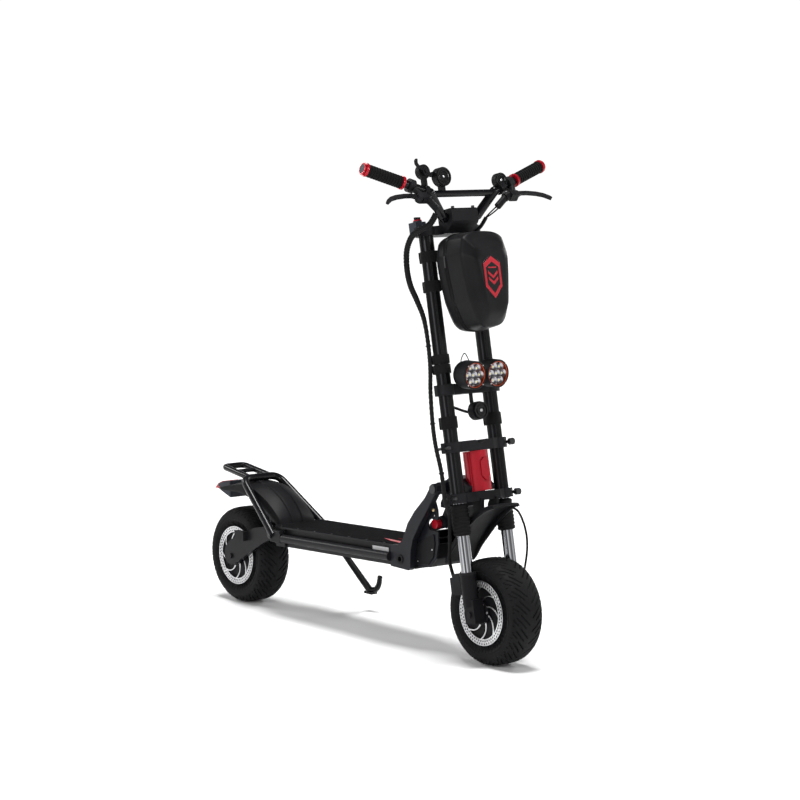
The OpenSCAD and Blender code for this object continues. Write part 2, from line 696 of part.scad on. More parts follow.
// ---- things on the stems ----
module front_fender() {
  top = [[598, 425], [560, 416], [525, 396], [492, 368], [462, 336], [430, 296], [408, 251]];
  low = [[411, 249], [433, 292], [465, 332], [494, 364], [526, 391], [561, 411], [597, 420]];
  color([0.1, 0.1, 0.1]) {
    side_plate(concat(top, low), -50, 50);
    difference() {
      both() side_plate([[500, 371], [535, 399], [535, 440], [500, 440]], 20, 30);
      steer() translate([-60, -60, 287.9]) cube([120, 120, 80]);
    }
  }
}
module horn() {
  color([0.06, 0.06, 0.06]) steer() {
    ucyl([24, -4, 520], horn_r, 22);
    ucyl([45, -4, 520], horn_r - 7, 3);
    ucyl([10, -4, 520], 10, 15);
    translate([14, -9, 520]) cube([4, 10, 47.8]);
  }
}
module straps() {
  color([0.05, 0.05, 0.05]) steer() {
    translate([0, -SY, 625]) ring(23, stem_d / 2 + gap, 24);
    translate([0, -SY, 651]) ring(22, stem_d / 2 + gap, 24);
    for (s = [-1, 1]) {
      translate([0, s * SY, 481]) ring(22.5, stem_d / 2 + gap, 32);
      for (w = [838, 915]) difference() {
        union() {
          translate([0, s * SY, w]) cylinder(h = 30, r = 21.5);
          translate([0, s > 0 ? SY - 40 : -SY + 4, w + 1]) cube([24.4, 36, 28]);
        }
        translate([0, s * SY, w - 1]) cylinder(h = 32, r = stem_d / 2 + gap);
        translate([-1, s > 0 ? SY - 41 : -SY + 3, w - 1]) cube([21.4, 38, 32]);
      }
    }
  }
}
outline = [[-52, 976], [-78, 954], [-88, 908], [-86, 862], [-72, 782], [-52, 724], [-34, 703], [34, 703],
  [52, 724], [72, 782], [86, 862], [88, 908], [78, 954], [52, 976]];
module slab(pts, u, t, k, wc) {
  translate([u, 0, wc]) rotate([90, 0, 90]) linear_extrude(t) scale([k, k]) translate([0, -wc])
    polygon(pts);
}
front_face = [[-50, 915], [-57, 890], [-52, 850], [-36, 764], [-26, 742], [26, 742], [36, 764], [52, 850],
  [57, 890], [50, 915]];
module knuckle_bar(y, l, u) {
  translate([BAGH[0], y, BAGH[2]]) rotate([-90, 0, 0]) cylinder(h = l, r = 2.6);
  translate([u, y, BAGH[2] - 1]) cube([5.4, l, 7]);
}
module bag_back() {
  color([0.07, 0.07, 0.07]) steer() {
    knuckle_bar(20.6, 13, 64.2);
    knuckle_bar(-33.6, 13, 64.2);
  }
  color([0.07, 0.07, 0.07]) steer() difference() {
    hull() {
      slab(outline, 69, 0.8, 1, 840);
      slab(outline, 40, 1, 0.99, 840);
      slab(outline, 25, 1, 0.82, 840);
    }
    hull() {
      slab(outline, 69.9, 0.8, 0.96, 840);
      slab(outline, 42, 1, 0.95, 840);
      slab(outline, 29, 1, 0.78, 840);
    }
  }
}
module bag_front() {
  color([0.06, 0.06, 0.06]) steer() knuckle_bar(-20, 40, 70.4);
  color([0.06, 0.06, 0.06]) steer() difference() {
    hull() {
      slab(outline, 70.2, 0.8, 1, 840);
      slab(outline, 130, 1, 0.97, 840);
      slab(front_face, 165, 1, 1, 840);
      slab([[-46, 966], [46, 966], [40, 940], [-40, 940]], 138, 1, 1, 840);
    }
    hull() {
      slab(outline, 69, 0.8, 0.96, 840);
      slab(outline, 126, 1, 0.93, 840);
      slab(front_face, 161, 1, 0.94, 840);
      slab([[-42, 958], [42, 958], [38, 936], [-38, 936]], 133, 1, 1, 840);
    }
  }
  color([0.8, 0.12, 0.15]) steer() translate([166.2, 0, 838]) rotate([90, 0, 90]) linear_extrude(2)
    polygon([[0, 56], [27, 38], [27, -20], [0, -50], [-27, -20], [-27, 38]]);
}
module lamp_housings() {
  color([0.09, 0.09, 0.1]) steer() translate([LH[0], 0, LH[2]]) rotate([0, RK, 0]) for (y = [-38.5, 38.5]) {
    difference() {
      union() {
        ucyl([22, y, 6], lamp_r, 36);
        for (i = [0:3]) ucyl([8 + 4 * i, y, 6], lamp_r - 4 + i, 2.2);
        ucyl([8, y, 6], lamp_r - 10, 16);
        translate([-5, y - 4, -4]) cube([16, 8, 10]);
        translate([0, y, 0]) rotate([90, 0, 0]) cylinder(h = 8, r = 7, center = true);
      }
      ucyl([48, y, 6], lamp_r - 4, 20);
      translate([0, y, 0]) rotate([90, 0, 0]) cylinder(h = 30, r = 4 + gap, center = true);
    }
  }
}
module lamp_lenses() {
  color([0.9, 0.9, 0.92]) steer() translate([LH[0], 0, LH[2]]) rotate([0, RK, 0]) for (y = [-38.5, 38.5])
    ucyl([48.2, y, 6], lamp_r - 4.4, 6);
}

// ---- kickstand ----
module kickstand() {
  color([0.08, 0.08, 0.08]) {
    difference() {
      union() {
        rod(STP, STF, 15);
        stand_frame() translate([0, 0, -8.6]) cylinder(h = 17.2, r = 10);
      }
      stand_frame() translate([0, 0, -20]) cylinder(h = 60, r = 5 + gap);
    }
    path([STF, STF + [24, 3, 6], STF + [40, 4, 24], STF + [40, 4, 42]], 11);
    translate(STF + [40, 4, 42]) sphere(d = 12.4);
    translate(STF + [-14, -10, -10]) cube([34, 22, 7]);
    rod(STP + [6, 20, -32], STP + [22, 20, -32], 5);
  }
}
module loom() {
  pts = smooth([[85, -104, 1028], [68, -112, 1014], [38, -122, 1012], [4, -124, 1014], [-28, -124, 992],
    [-52, -124, 950], [-60, -124, 900], [-46, -118, 850], [-22, -106, 790], [-14, -103, 720],
    [-16, -104, 650], [-22, -106, 580], [-24, -110, 500], [-20, -115.5, 440], [-14, -115.5, 370],
    [-12, -115.5, 300], [-4, -107, 262]], 4);
  color([0.06, 0.06, 0.06]) steer() hose(pts, 6, 10);
}
module front_hose() {
  pts = smooth([[-4, -107, 258], [-17, -103, 220], [-38, -92, 180], [-58, -82, 140], [-62, -72, 99]], 4);
  color([0.05, 0.05, 0.05]) steer() hose(pts, 3.6, 8);
}

deck_pan();
deck_lid();
grip_mat();
side_rails();
power_pack();
neck_arms();
nose_cover();
rear_hoop();
rear_fender();
tail_housing();
tail_lens();
rear_bracket();
pivot_pins();
deck_screws();
charge_port();
kickstand();
head_tube();
fold_knuckle();
head_bearings();
latch_pin();
lower_clamp();
stem_clamps();
top_clamp();
stems();
stanchions();
boots();
clamp_bolts();
handlebar();
grips();
grip_rings();
brake_masters();
bar_controls();
key_pod();
front_fender();
horn();
straps();
bag_back();
loom();
front_hose();
lamp_housings();
lamp_lenses();
bag_front();
brake_lever_r();
brake_lever_l();
throttle_trigger();
key_knob();
switch_button();
fork_lowers();
front_caliper();
front_tyre();
front_hub();
front_rotor();
swingarm();
rear_caliper();
rear_tyre();
rear_hub();
rear_rotor();
shock_bodies();
shock_rods();
shock_springs();
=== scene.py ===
import math

import bmesh
import bpy
import numpy as np
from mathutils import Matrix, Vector


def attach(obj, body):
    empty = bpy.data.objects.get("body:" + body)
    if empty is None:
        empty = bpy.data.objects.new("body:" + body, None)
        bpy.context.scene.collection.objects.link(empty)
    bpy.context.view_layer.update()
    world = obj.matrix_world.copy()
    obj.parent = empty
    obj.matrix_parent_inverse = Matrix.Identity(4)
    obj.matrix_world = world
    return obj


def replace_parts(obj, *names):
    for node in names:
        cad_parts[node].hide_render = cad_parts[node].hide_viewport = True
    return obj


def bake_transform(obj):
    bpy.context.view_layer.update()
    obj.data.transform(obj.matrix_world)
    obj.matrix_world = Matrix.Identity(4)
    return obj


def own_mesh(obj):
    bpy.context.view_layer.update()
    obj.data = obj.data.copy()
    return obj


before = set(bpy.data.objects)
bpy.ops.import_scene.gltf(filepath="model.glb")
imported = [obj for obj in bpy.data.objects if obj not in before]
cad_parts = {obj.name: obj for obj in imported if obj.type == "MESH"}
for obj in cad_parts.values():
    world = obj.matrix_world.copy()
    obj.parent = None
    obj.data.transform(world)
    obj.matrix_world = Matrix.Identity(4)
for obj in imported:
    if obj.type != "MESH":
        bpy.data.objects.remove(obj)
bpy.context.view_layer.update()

MM = 0.001
RAKE = math.radians(11.22)
FRONT_AXLE = (558, 0, 140)
REAR_AXLE = (-542, 0, 140)
STEM_FOOT = (553.5, 0, 140)
STEM_Y = 75.2
TILT = math.radians(2)
STAND_TOP = (-215, 84, 190)
STAND_FOOT = (-192, 172, 62)
HORN_FACE = (48, -4, 520)
KEY = (-43, -62, 1008)
FLOOR_HALF = 14
SIDES = (("near", -1), ("far", 1))


# ---------- places ----------
def at(x, y, z):
    """A point of the row frame, from millimetres."""
    return Vector((x, y, z)) * MM


def steer(u, y, w):
    """A point of the raked steering frame: u forward, y left, w up along the stems, in millimetres."""
    x = STEM_FOOT[0] + u * math.cos(RAKE) - w * math.sin(RAKE)
    z = STEM_FOOT[2] + u * math.sin(RAKE) + w * math.cos(RAKE)
    return at(x, y, z)


def deck(x, y, z):
    """A point of the tilted deck frame, whose origin is the deck's rear lower edge."""
    return at(-300 + x * math.cos(TILT) - z * math.sin(TILT), y, 204 + x * math.sin(TILT) + z * math.cos(TILT))


UP = (steer(0, 0, 1) - steer(0, 0, 0)).normalized()
AHEAD = (steer(1, 0, 0) - steer(0, 0, 0)).normalized()
LEFT = Vector((0, 1, 0))


# ---------- materials ----------
def material(name, colour, rough=0.5, metal=0.0, grain=400.0, bump=0.1, vary=0.25, coat=0.0, sheen=0.0,
             stretch=(1, 1, 1), wear=0.0, depth=0.0004, spec=0.1, alpha=1.0, transmission=0.0):
    """A noise-broken surface: colour and roughness drift over large patches, with a fine bump at grain."""
    m = bpy.data.materials.new(name)
    m.use_nodes = True
    nodes, links = m.node_tree.nodes, m.node_tree.links
    shader = nodes["Principled BSDF"]
    shader.inputs["Metallic"].default_value = metal
    shader.inputs["Coat Weight"].default_value = coat
    shader.inputs["Coat Roughness"].default_value = 0.12
    shader.inputs["Sheen Weight"].default_value = sheen
    shader.inputs["Sheen Roughness"].default_value = 0.4
    shader.inputs["Specular IOR Level"].default_value = spec
    shader.inputs["Transmission Weight"].default_value = transmission
    shader.inputs["Alpha"].default_value = alpha
    place = nodes.new("ShaderNodeTexCoord")
    scale = nodes.new("ShaderNodeMapping")
    scale.inputs["Scale"].default_value = stretch
    links.new(place.outputs["Object"], scale.inputs["Vector"])
    patches = nodes.new("ShaderNodeTexNoise")
    patches.inputs["Scale"].default_value = 14
    patches.inputs["Detail"].default_value = 6
    links.new(scale.outputs["Vector"], patches.inputs["Vector"])
    tint = nodes.new("ShaderNodeValToRGB")
    tint.color_ramp.elements[0].position = 0.3
    tint.color_ramp.elements[1].position = 0.7
    tint.color_ramp.elements[0].color = [c * (1 - vary) for c in colour] + [1]
    tint.color_ramp.elements[1].color = [min(1, c * (1 + vary)) for c in colour] + [1]
    links.new(patches.outputs["Fac"], tint.inputs["Fac"])
    base = tint.outputs["Color"]
    if wear:
        edge = nodes.new("ShaderNodeNewGeometry")
        pick = nodes.new("ShaderNodeValToRGB")
        pick.color_ramp.elements[0].position = 0.53
        pick.color_ramp.elements[1].position = 0.62
        links.new(edge.outputs["Pointiness"], pick.inputs["Fac"])
        amount = nodes.new("ShaderNodeMath")
        amount.operation = "MULTIPLY"
        amount.inputs[1].default_value = wear
        links.new(pick.outputs["Color"], amount.inputs[0])
        mix = nodes.new("ShaderNodeMix")
        mix.data_type = "RGBA"
        mix.inputs["B"].default_value = [min(1, c * 2 + 0.012) for c in colour] + [1]
        links.new(amount.outputs[0], mix.inputs["Factor"])
        links.new(base, mix.inputs["A"])
        base = mix.outputs["Result"]
    links.new(base, shader.inputs["Base Color"])
    smear = nodes.new("ShaderNodeMapRange")
    smear.inputs["To Min"].default_value = max(0.03, rough - 0.1)
    smear.inputs["To Max"].default_value = min(1, rough + 0.1)
    links.new(patches.outputs["Fac"], smear.inputs["Value"])
    links.new(smear.outputs["Result"], shader.inputs["Roughness"])
    fine = nodes.new("ShaderNodeTexNoise")
    fine.inputs["Scale"].default_value = grain
    fine.inputs["Detail"].default_value = 3
    links.new(scale.outputs["Vector"], fine.inputs["Vector"])
    relief = nodes.new("ShaderNodeBump")
    relief.inputs["Strength"].default_value = bump
    relief.inputs["Distance"].default_value = depth
    links.new(fine.outputs["Fac"], relief.inputs["Height"])
    links.new(relief.outputs["Normal"], shader.inputs["Normal"])
    return m


def woven(name, colour, pitch=0.0016, rough=0.75, sheen=0.3, strength=0.5):
    """Cloth or braid: two crossed waves make the yarns."""
    m = material(name, colour, rough, grain=900, bump=0.2, sheen=sheen)
    nodes, links = m.node_tree.nodes, m.node_tree.links
    place = next(n for n in nodes if n.type == "TEX_COORD")
    height = None
    for direction in ((1, 1, 1), (1, -1, 1)):
        turn = nodes.new("ShaderNodeMapping")
        turn.inputs["Scale"].default_value = direction
        links.new(place.outputs["Object"], turn.inputs["Vector"])
        wave = nodes.new("ShaderNodeTexWave")
        wave.wave_type = "BANDS"
        wave.bands_direction = "DIAGONAL"
        wave.inputs["Scale"].default_value = 0.3 / pitch
        links.new(turn.outputs["Vector"], wave.inputs["Vector"])
        if height is None:
            height = wave.outputs["Fac"]
        else:
            both = nodes.new("ShaderNodeMath")
            both.operation = "MAXIMUM"
            links.new(height, both.inputs[0])
            links.new(wave.outputs["Fac"], both.inputs[1])
            height = both.outputs[0]
    relief = next(n for n in nodes if n.type == "BUMP")
    relief.inputs["Strength"].default_value = strength
    links.new(height, relief.inputs["Height"])
    return m


MAT = {
    "powder": material("powder_black", (0.006, 0.006, 0.007), 0.4, grain=1500, bump=0.25, coat=0.05, wear=0.2),
    "tube": material("tube_black", (0.004, 0.004, 0.005), 0.26, grain=1200, bump=0.12, coat=0.2, wear=0.15),
    "cast": material("cast_black", (0.005, 0.005, 0.006), 0.5, grain=900, bump=0.4, wear=0.3),
    "neck": material("neck_paint", (0.006, 0.0065, 0.009), 0.4, grain=1500, bump=0.2, coat=0.06, wear=0.25),
    # stem colour, later multiplied by bands of painted highlight
    "stem": material("stem_anodised_painted_highlights", (0.045, 0.045, 0.049), 0.34, metal=0.3, grain=300, bump=0.08,
                     stretch=(1, 1, 0.04)),
    "plastic": material("black_plastic", (0.005, 0.005, 0.006), 0.48, grain=1100, bump=0.35),
    "gloss": material("gloss_plastic", (0.004, 0.004, 0.0045), 0.18, grain=300, bump=0.03, coat=0.4),
    "rubber": material("rubber", (0.005, 0.005, 0.005), 0.7, grain=700, bump=0.3),
    "mat": material("mat_rubber", (0.008, 0.008, 0.009), 0.8, grain=900, bump=0.5),
    "tyre": material("tyre_rubber", (0.005, 0.005, 0.0056), 0.62, grain=600, bump=0.35, vary=0.4),
    "steel": material("steel", (0.55, 0.55, 0.56), 0.3, metal=1.0, grain=500, bump=0.1),
    "disc": material("brushed_disc", (0.6, 0.6, 0.61), 0.34, metal=1.0, grain=260, bump=0.25,
                     stretch=(1, 6, 1)),
    # chrome colour, later multiplied by bands of painted reflection
    "chrome": material("chrome", (0.6, 0.61, 0.64), 0.14, metal=1.0, grain=60, bump=0.01, vary=0.04),
    "red": material("red_anodised", (0.36, 0.004, 0.014), 0.34, metal=0.3, grain=500, bump=0.08,
                    stretch=(1, 1, 0.08), coat=0.3, vary=0.15),
    "red_plastic": material("red_plastic", (0.55, 0.012, 0.018), 0.35, grain=500, bump=0.1, coat=0.3, vary=0.12),
    "red_lens": material("red_lens", (0.42, 0.004, 0.012), 0.12, grain=150, bump=0.05, coat=0.8, vary=0.2),
    "copper": material("copper_ring", (0.36, 0.05, 0.016), 0.22, metal=0.8, grain=500, bump=0.05, coat=0.3),
    "lens": material("clear_lens", (0.9, 0.9, 0.92), 0.05, grain=100, bump=0.02, transmission=0.9, vary=0.02),
    "led": material("reflector_cup", (0.34, 0.34, 0.36), 0.16, metal=0.95, grain=250, bump=0.15, vary=0.05),
    "amber": material("led_chip", (0.9, 0.75, 0.3), 0.4, grain=900, bump=0.1),
    "webbing": woven("webbing", (0.005, 0.005, 0.005), 0.0022, sheen=0.05),
    "bag": woven("bag_shell", (0.006, 0.006, 0.0068), 0.0011, rough=0.4, sheen=0.03, strength=0.12),
    "braid": woven("braided_loom", (0.006, 0.006, 0.0065), 0.003, rough=0.55, sheen=0.05),
    "badge": material("badge_red", (0.36, 0.012, 0.022), 0.42, grain=600, bump=0.1, coat=0.3, vary=0.1),
    "label": material("blank_label", (0.62, 0.62, 0.63), 0.5, grain=300, bump=0.08, vary=0.1),
    "gunmetal": material("gunmetal", (0.05, 0.05, 0.052), 0.35, metal=0.9, grain=500, bump=0.1),
    "cast_spring": material("spring_black", (0.008, 0.008, 0.009), 0.3, grain=500, bump=0.1, coat=0.3),
    "gold": material("gold_bolt", (0.75, 0.6, 0.35), 0.28, metal=1.0, grain=300, bump=0.1),
    "pack": material("battery_wrap", (0.02, 0.05, 0.12), 0.5, grain=300, bump=0.2),
    "slate": material("slate_plastic", (0.03, 0.034, 0.042), 0.45, grain=1100, bump=0.3),
}


# ---------- making pieces ----------
def piece(name, verts, faces, mat, body=None, slot=None, smooth=35, bevel=0.0):
    """A new mesh object, bevelled in mm, that rides a body and fills a material slot with mat; the slot argument is
    not used.
    """
    mesh = bpy.data.meshes.new(name)
    mesh.from_pydata([tuple(v) for v in verts], [], faces)
    mesh.validate()
    bm = bmesh.new()
    bm.from_mesh(mesh)
    bmesh.ops.remove_doubles(bm, verts=bm.verts, dist=1e-6)
    bmesh.ops.recalc_face_normals(bm, faces=bm.faces)
    bm.to_mesh(mesh)
    bm.free()
    o = bpy.data.objects.new(name, mesh)
    bpy.context.scene.collection.objects.link(o)
    mesh.materials.append(MAT[mat])
    if bevel:
        b = o.modifiers.new("bevel", "BEVEL")
        b.width = bevel * MM
        b.segments = 3
        b.limit_method = "ANGLE"
        b.angle_limit = math.radians(30)
    soften(o, smooth)
    if body:
        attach(o, body)
    return o


def soften(o, degrees):
    """Smooth shading that keeps edges sharper than this angle."""
    mesh = o.data
    mesh.polygons.foreach_set("use_smooth", [True] * len(mesh.polygons))
    if degrees < 180:
        mesh.set_sharp_from_angle(angle=math.radians(degrees))


def basis(direction):
    """Two unit vectors across a direction."""
    d = direction.normalized()
    side = d.cross(Vector((0.13, 1, 0.21))).normalized()
    return side, d.cross(side)


def rounded(points, radius, steps=7):
    """The corners of a polyline, rounded off with curves that start radius away from each."""
    out = [points[0]]
    for a, b, c in zip(points, points[1:], points[2:]):
        before = b + (a - b).normalized() * min(radius * MM, (a - b).length * 0.49)
        after = b + (c - b).normalized() * min(radius * MM, (c - b).length * 0.49)
        for i in range(steps + 1):
            t = i / steps
            out.append(before * (1 - t) ** 2 + b * 2 * t * (1 - t) + after * t * t)
    out.append(points[-1])
    return out


def curve(points, steps=6):
    """A smooth curve through every point (Catmull-Rom)."""
    out = []
    for i in range(len(points) - 1):
        a, b = points[max(i - 1, 0)], points[i]
        c, d = points[i + 1], points[min(i + 2, len(points) - 1)]
        for j in range(steps):
            t = j / steps
            out.append(0.5 * (2 * b + (c - a) * t + (2 * a - 5 * b + 4 * c - d) * t ** 2
                              + (3 * b - a - 3 * c + d) * t ** 3))
    out.append(points[-1])
    return out


def tube_mesh(points, radius, sides=20):
    """Rings swept along the points without twist; radius in mm is one number or a function of 0..1."""
    verts, faces = [], []
    side = None
    n = len(points)
    for i, p in enumerate(points):
        d = (points[min(i + 1, n - 1)] - points[max(i - 1, 0)]).normalized()
        if side is None:
            side = basis(d)[0]
        side = (side - d * side.dot(d)).normalized()
        other = d.cross(side)
        r = (radius(i / (n - 1)) if callable(radius) else radius) * MM
        for k in range(sides):
            a = 2 * math.pi * k / sides
            verts.append(p + side * (r * math.cos(a)) + other * (r * math.sin(a)))
    for i in range(n - 1):
        for k in range(sides):
            k2 = (k + 1) % sides
            faces.append((i * sides + k, i * sides + k2, (i + 1) * sides + k2, (i + 1) * sides + k))
    faces.append(tuple(range(sides - 1, -1, -1)))
    faces.append(tuple((n - 1) * sides + k for k in range(sides)))
    return verts, faces


def tube(name, points, radius, mat, body, slot=None, sides=20):
    """A swept round piece along the points."""
    return piece(name, *tube_mesh(points, radius, sides), mat, body, slot)


def join(parts):
    """Several (verts, faces) as one."""
    verts, faces = [], []
    for v, f in parts:
        n = len(verts)
        verts += list(v)
        faces += [tuple(i + n for i in face) for face in f]
    return verts, faces


def lathe_mesh(profile, origin, axis, n=64):
    """A closed turned shape: profile of (radius, height) in mm about an axis."""
    side, other = basis(axis)
    d = axis.normalized()
    verts, faces = [], []
    for k in range(n):
        a = 2 * math.pi * k / n
        out = side * math.cos(a) + other * math.sin(a)
        verts += [origin + out * (r * MM) + d * (h * MM) for r, h in profile]
    m = len(profile)
    for k in range(n):
        k2 = (k + 1) % n
        for i in range(m - 1):
            faces.append((k * m + i, k * m + i + 1, k2 * m + i + 1, k2 * m + i))
    return verts, faces


def prism_mesh(outline, low, high, place):
    """An outline of (a, b) pairs, run from low to high; place(a, b, h) gives the point."""
    n = len(outline)
    verts = [place(a, b, low) for a, b in outline] + [place(a, b, high) for a, b in outline]
    faces = [tuple(range(n - 1, -1, -1)), tuple(range(n, 2 * n))]
    faces += [(i, (i + 1) % n, (i + 1) % n + n, i + n) for i in range(n)]
    return verts, faces


# ---------- CAD nodes that stay, with their finishes ----------
def paint_reflection_bands(m, bands):
    """Painted reflections round a polished rod: bright and dark bands, set by the side that the surface faces,
    multiplied into the base colour.
    """
    nodes, links = m.node_tree.nodes, m.node_tree.links
    shader = nodes["Principled BSDF"]
    place = next(n for n in nodes if n.type == "TEX_COORD")
    split = nodes.new("ShaderNodeSeparateXYZ")
    links.new(place.outputs["Normal"], split.inputs["Vector"])
    turn = nodes.new("ShaderNodeMath")
    turn.operation = "ARCTAN2"
    links.new(split.outputs["Y"], turn.inputs[0])
    links.new(split.outputs["X"], turn.inputs[1])
    share = nodes.new("ShaderNodeMapRange")
    share.inputs["From Min"].default_value = -math.pi
    share.inputs["From Max"].default_value = math.pi
    links.new(turn.outputs[0], share.inputs["Value"])
    ramp = nodes.new("ShaderNodeValToRGB")
    ramp.color_ramp.elements.remove(ramp.color_ramp.elements[1])
    ramp.color_ramp.elements[0].position = 0
    ramp.color_ramp.elements[0].color = [bands[0][1]] * 3 + [1]
    for where, value in bands[1:]:
        stop = ramp.color_ramp.elements.new(where)
        stop.color = [value] * 3 + [1]
    links.new(share.outputs["Result"], ramp.inputs["Fac"])
    mix = nodes.new("ShaderNodeMix")
    mix.data_type = "RGBA"
    mix.blend_type = "MULTIPLY"
    mix.inputs["Factor"].default_value = 1
    links.new(shader.inputs["Base Color"].links[0].from_socket, mix.inputs["A"])
    links.new(ramp.outputs["Color"], mix.inputs["B"])
    links.new(mix.outputs["Result"], shader.inputs["Base Color"])


# painted reflections on the chrome stanchions and shock rods: bright and dark bands multiplied into the base colour
paint_reflection_bands(MAT["chrome"], [(0, 0.5), (0.12, 0.15), (0.2, 0.6), (0.27, 0.2), (0.32, 0.9), (0.335, 0.1), (0.37, 0.12),
                       (0.385, 0.95), (0.42, 0.3), (0.46, 0.1), (0.49, 0.7), (0.55, 0.2), (0.62, 0.8), (0.7, 0.12),
                       (0.8, 0.6), (0.9, 0.15), (1, 0.5)])
# painted highlights on the stems: bright vertical bands multiplied into the base colour
paint_reflection_bands(MAT["stem"], [(0, 0.14), (0.1, 0.5), (0.16, 0.12), (0.325, 0.12), (0.335, 0.9), (0.35, 0.9), (0.36, 0.1),
                     (0.4, 0.1), (0.41, 0.7), (0.425, 0.7), (0.44, 0.1), (0.52, 0.12), (0.54, 0.45), (0.57, 0.1),
                     (0.8, 0.12), (0.86, 0.6), (0.9, 0.12), (1, 0.14)])
FINISH = {
    "powder": "deck_pan deck_lid rear_bracket side_rails swingarm",
    "neck": "neck_arms fold_knuckle",
    "cast": "lower_clamp stem_clamps top_clamp fork_lowers front_caliper rear_caliper front_hub rear_hub "
            "lamp_housings brake_masters brake_lever_r brake_lever_l shock_bodies",
    "tube": "rear_hoop handlebar kickstand",
    "stem": "stems",
    "mat": "grip_mat",
    "rubber": "boots grips",
    "plastic": "nose_cover rear_fender charge_port front_fender horn key_knob throttle_trigger bar_controls",
    "slate": "key_pod tail_housing",
    "pack": "power_pack",
    "red_plastic": "switch_button",
    "cast_spring": "shock_springs",
    "red_lens": "tail_lens",
    "steel": "head_bearings",
    "gunmetal": "clamp_bolts deck_screws pivot_pins",
    "red": "head_tube latch_pin grip_rings",
    "chrome": "stanchions shock_rods",
    "disc": "front_rotor rear_rotor",
    "tyre": "front_tyre rear_tyre",
    "lens": "lamp_lenses",
    "webbing": "straps",
    "bag": "bag_back bag_front",
    "braid": "loom front_hose",
}
NO_BEVEL = "loom front_hose shock_springs front_tyre rear_tyre bag_back bag_front deck_screws grips boots".split()
for look, names in FINISH.items():
    for node_name in names.split():
        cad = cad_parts[node_name]
        cad.data.materials.clear()
        cad.data.materials.append(MAT[look])
        if node_name not in NO_BEVEL:
            edge = cad.modifiers.new("edge", "BEVEL")
            edge.width = 0.0007
            edge.segments = 2
            edge.limit_method = "ANGLE"
            edge.angle_limit = math.radians(32)
            edge.harden_normals = True


# ---------- tyres ----------
def tyre(name, centre, body, node_name, turns=720):
    """A road tyre: crowned tread cut by slanted grooves that meet along the middle, and a stepped sidewall."""
    half = 52
    profile = [(84, -36), (88, -40), (94, -44), (100, -48.5), (104, -50), (105, -51.2), (108, -51.6), (109, -50.8),
               (114, -51.8), (120, -51), (125, -49.5)]
    tread = 64
    arc = [(125, -49.5), (132, -43), (136.5, -35), (138.8, -26), (139.7, -14), (140, 0)]
    lengths = np.concatenate([[0], np.cumsum([math.dist(a, b) for a, b in zip(arc, arc[1:])])])
    walk = np.linspace(0, lengths[-1], tread // 2 + 1)[1:]
    fine = [(np.interp(s, lengths, [p[0] for p in arc]), np.interp(s, lengths, [p[1] for p in arc])) for s in walk]
    left = profile + fine
    full = left + [(r, -h) for r, h in reversed(left[:-1])]
    r = np.array([p[0] for p in full])
    h = np.array([p[1] for p in full])
    theta = np.arange(turns) * 2 * math.pi / turns
    rr = np.repeat(r[None, :], turns, 0)
    hh = np.repeat(h[None, :], turns, 0)
    tt = np.repeat(theta[:, None], len(r), 1)

    def cut(distance, width):
        """One inside a groove of this width, with slanted walls."""
        return np.clip(1 - (np.abs(distance) - width / 2) / 0.8, 0, 1)

    reach = np.abs(hh)
    side = np.where(hh < 0, 0.5, 0.0)
    for count, lean, inner, outer, width, offset in ((24, 1.5, 4, 33, 3.4, 0.0), (24, 1.5, 15, 44, 2.8, 0.5),
                                                     (24, 1.5, 36, 49, 2.6, 0.1), (48, 0.4, 45, 51, 2.0, 0.3)):
        phase = tt / (2 * math.pi) * count + lean * (reach / 52) ** 1.15 + side + offset
        away = (phase - np.round(phase)) * (2 * math.pi * 138 / count)
        zone = np.clip((reach - inner) / 1.5, 0, 1) * np.clip((outer - reach) / 1.5, 0, 1)
        rr = rr - 3.0 * cut(away, width) * zone
    x = centre[0] + rr * np.sin(tt)
    z = centre[2] + rr * np.cos(tt)
    verts = np.stack([x, hh, z], -1).reshape(-1, 3) * MM
    m = len(r)
    faces = [(k * m + i, k * m + i + 1, ((k + 1) % turns) * m + i + 1, ((k + 1) % turns) * m + i)
             for k in range(turns) for i in range(m - 1)]
    o = piece(name, verts, faces, "tyre", body, "tyre", smooth=40)
    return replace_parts(o, node_name)


tyre("tyre_front", FRONT_AXLE, "front_wheel", "front_tyre")
tyre("tyre_rear", REAR_AXLE, "rear_wheel", "rear_tyre")


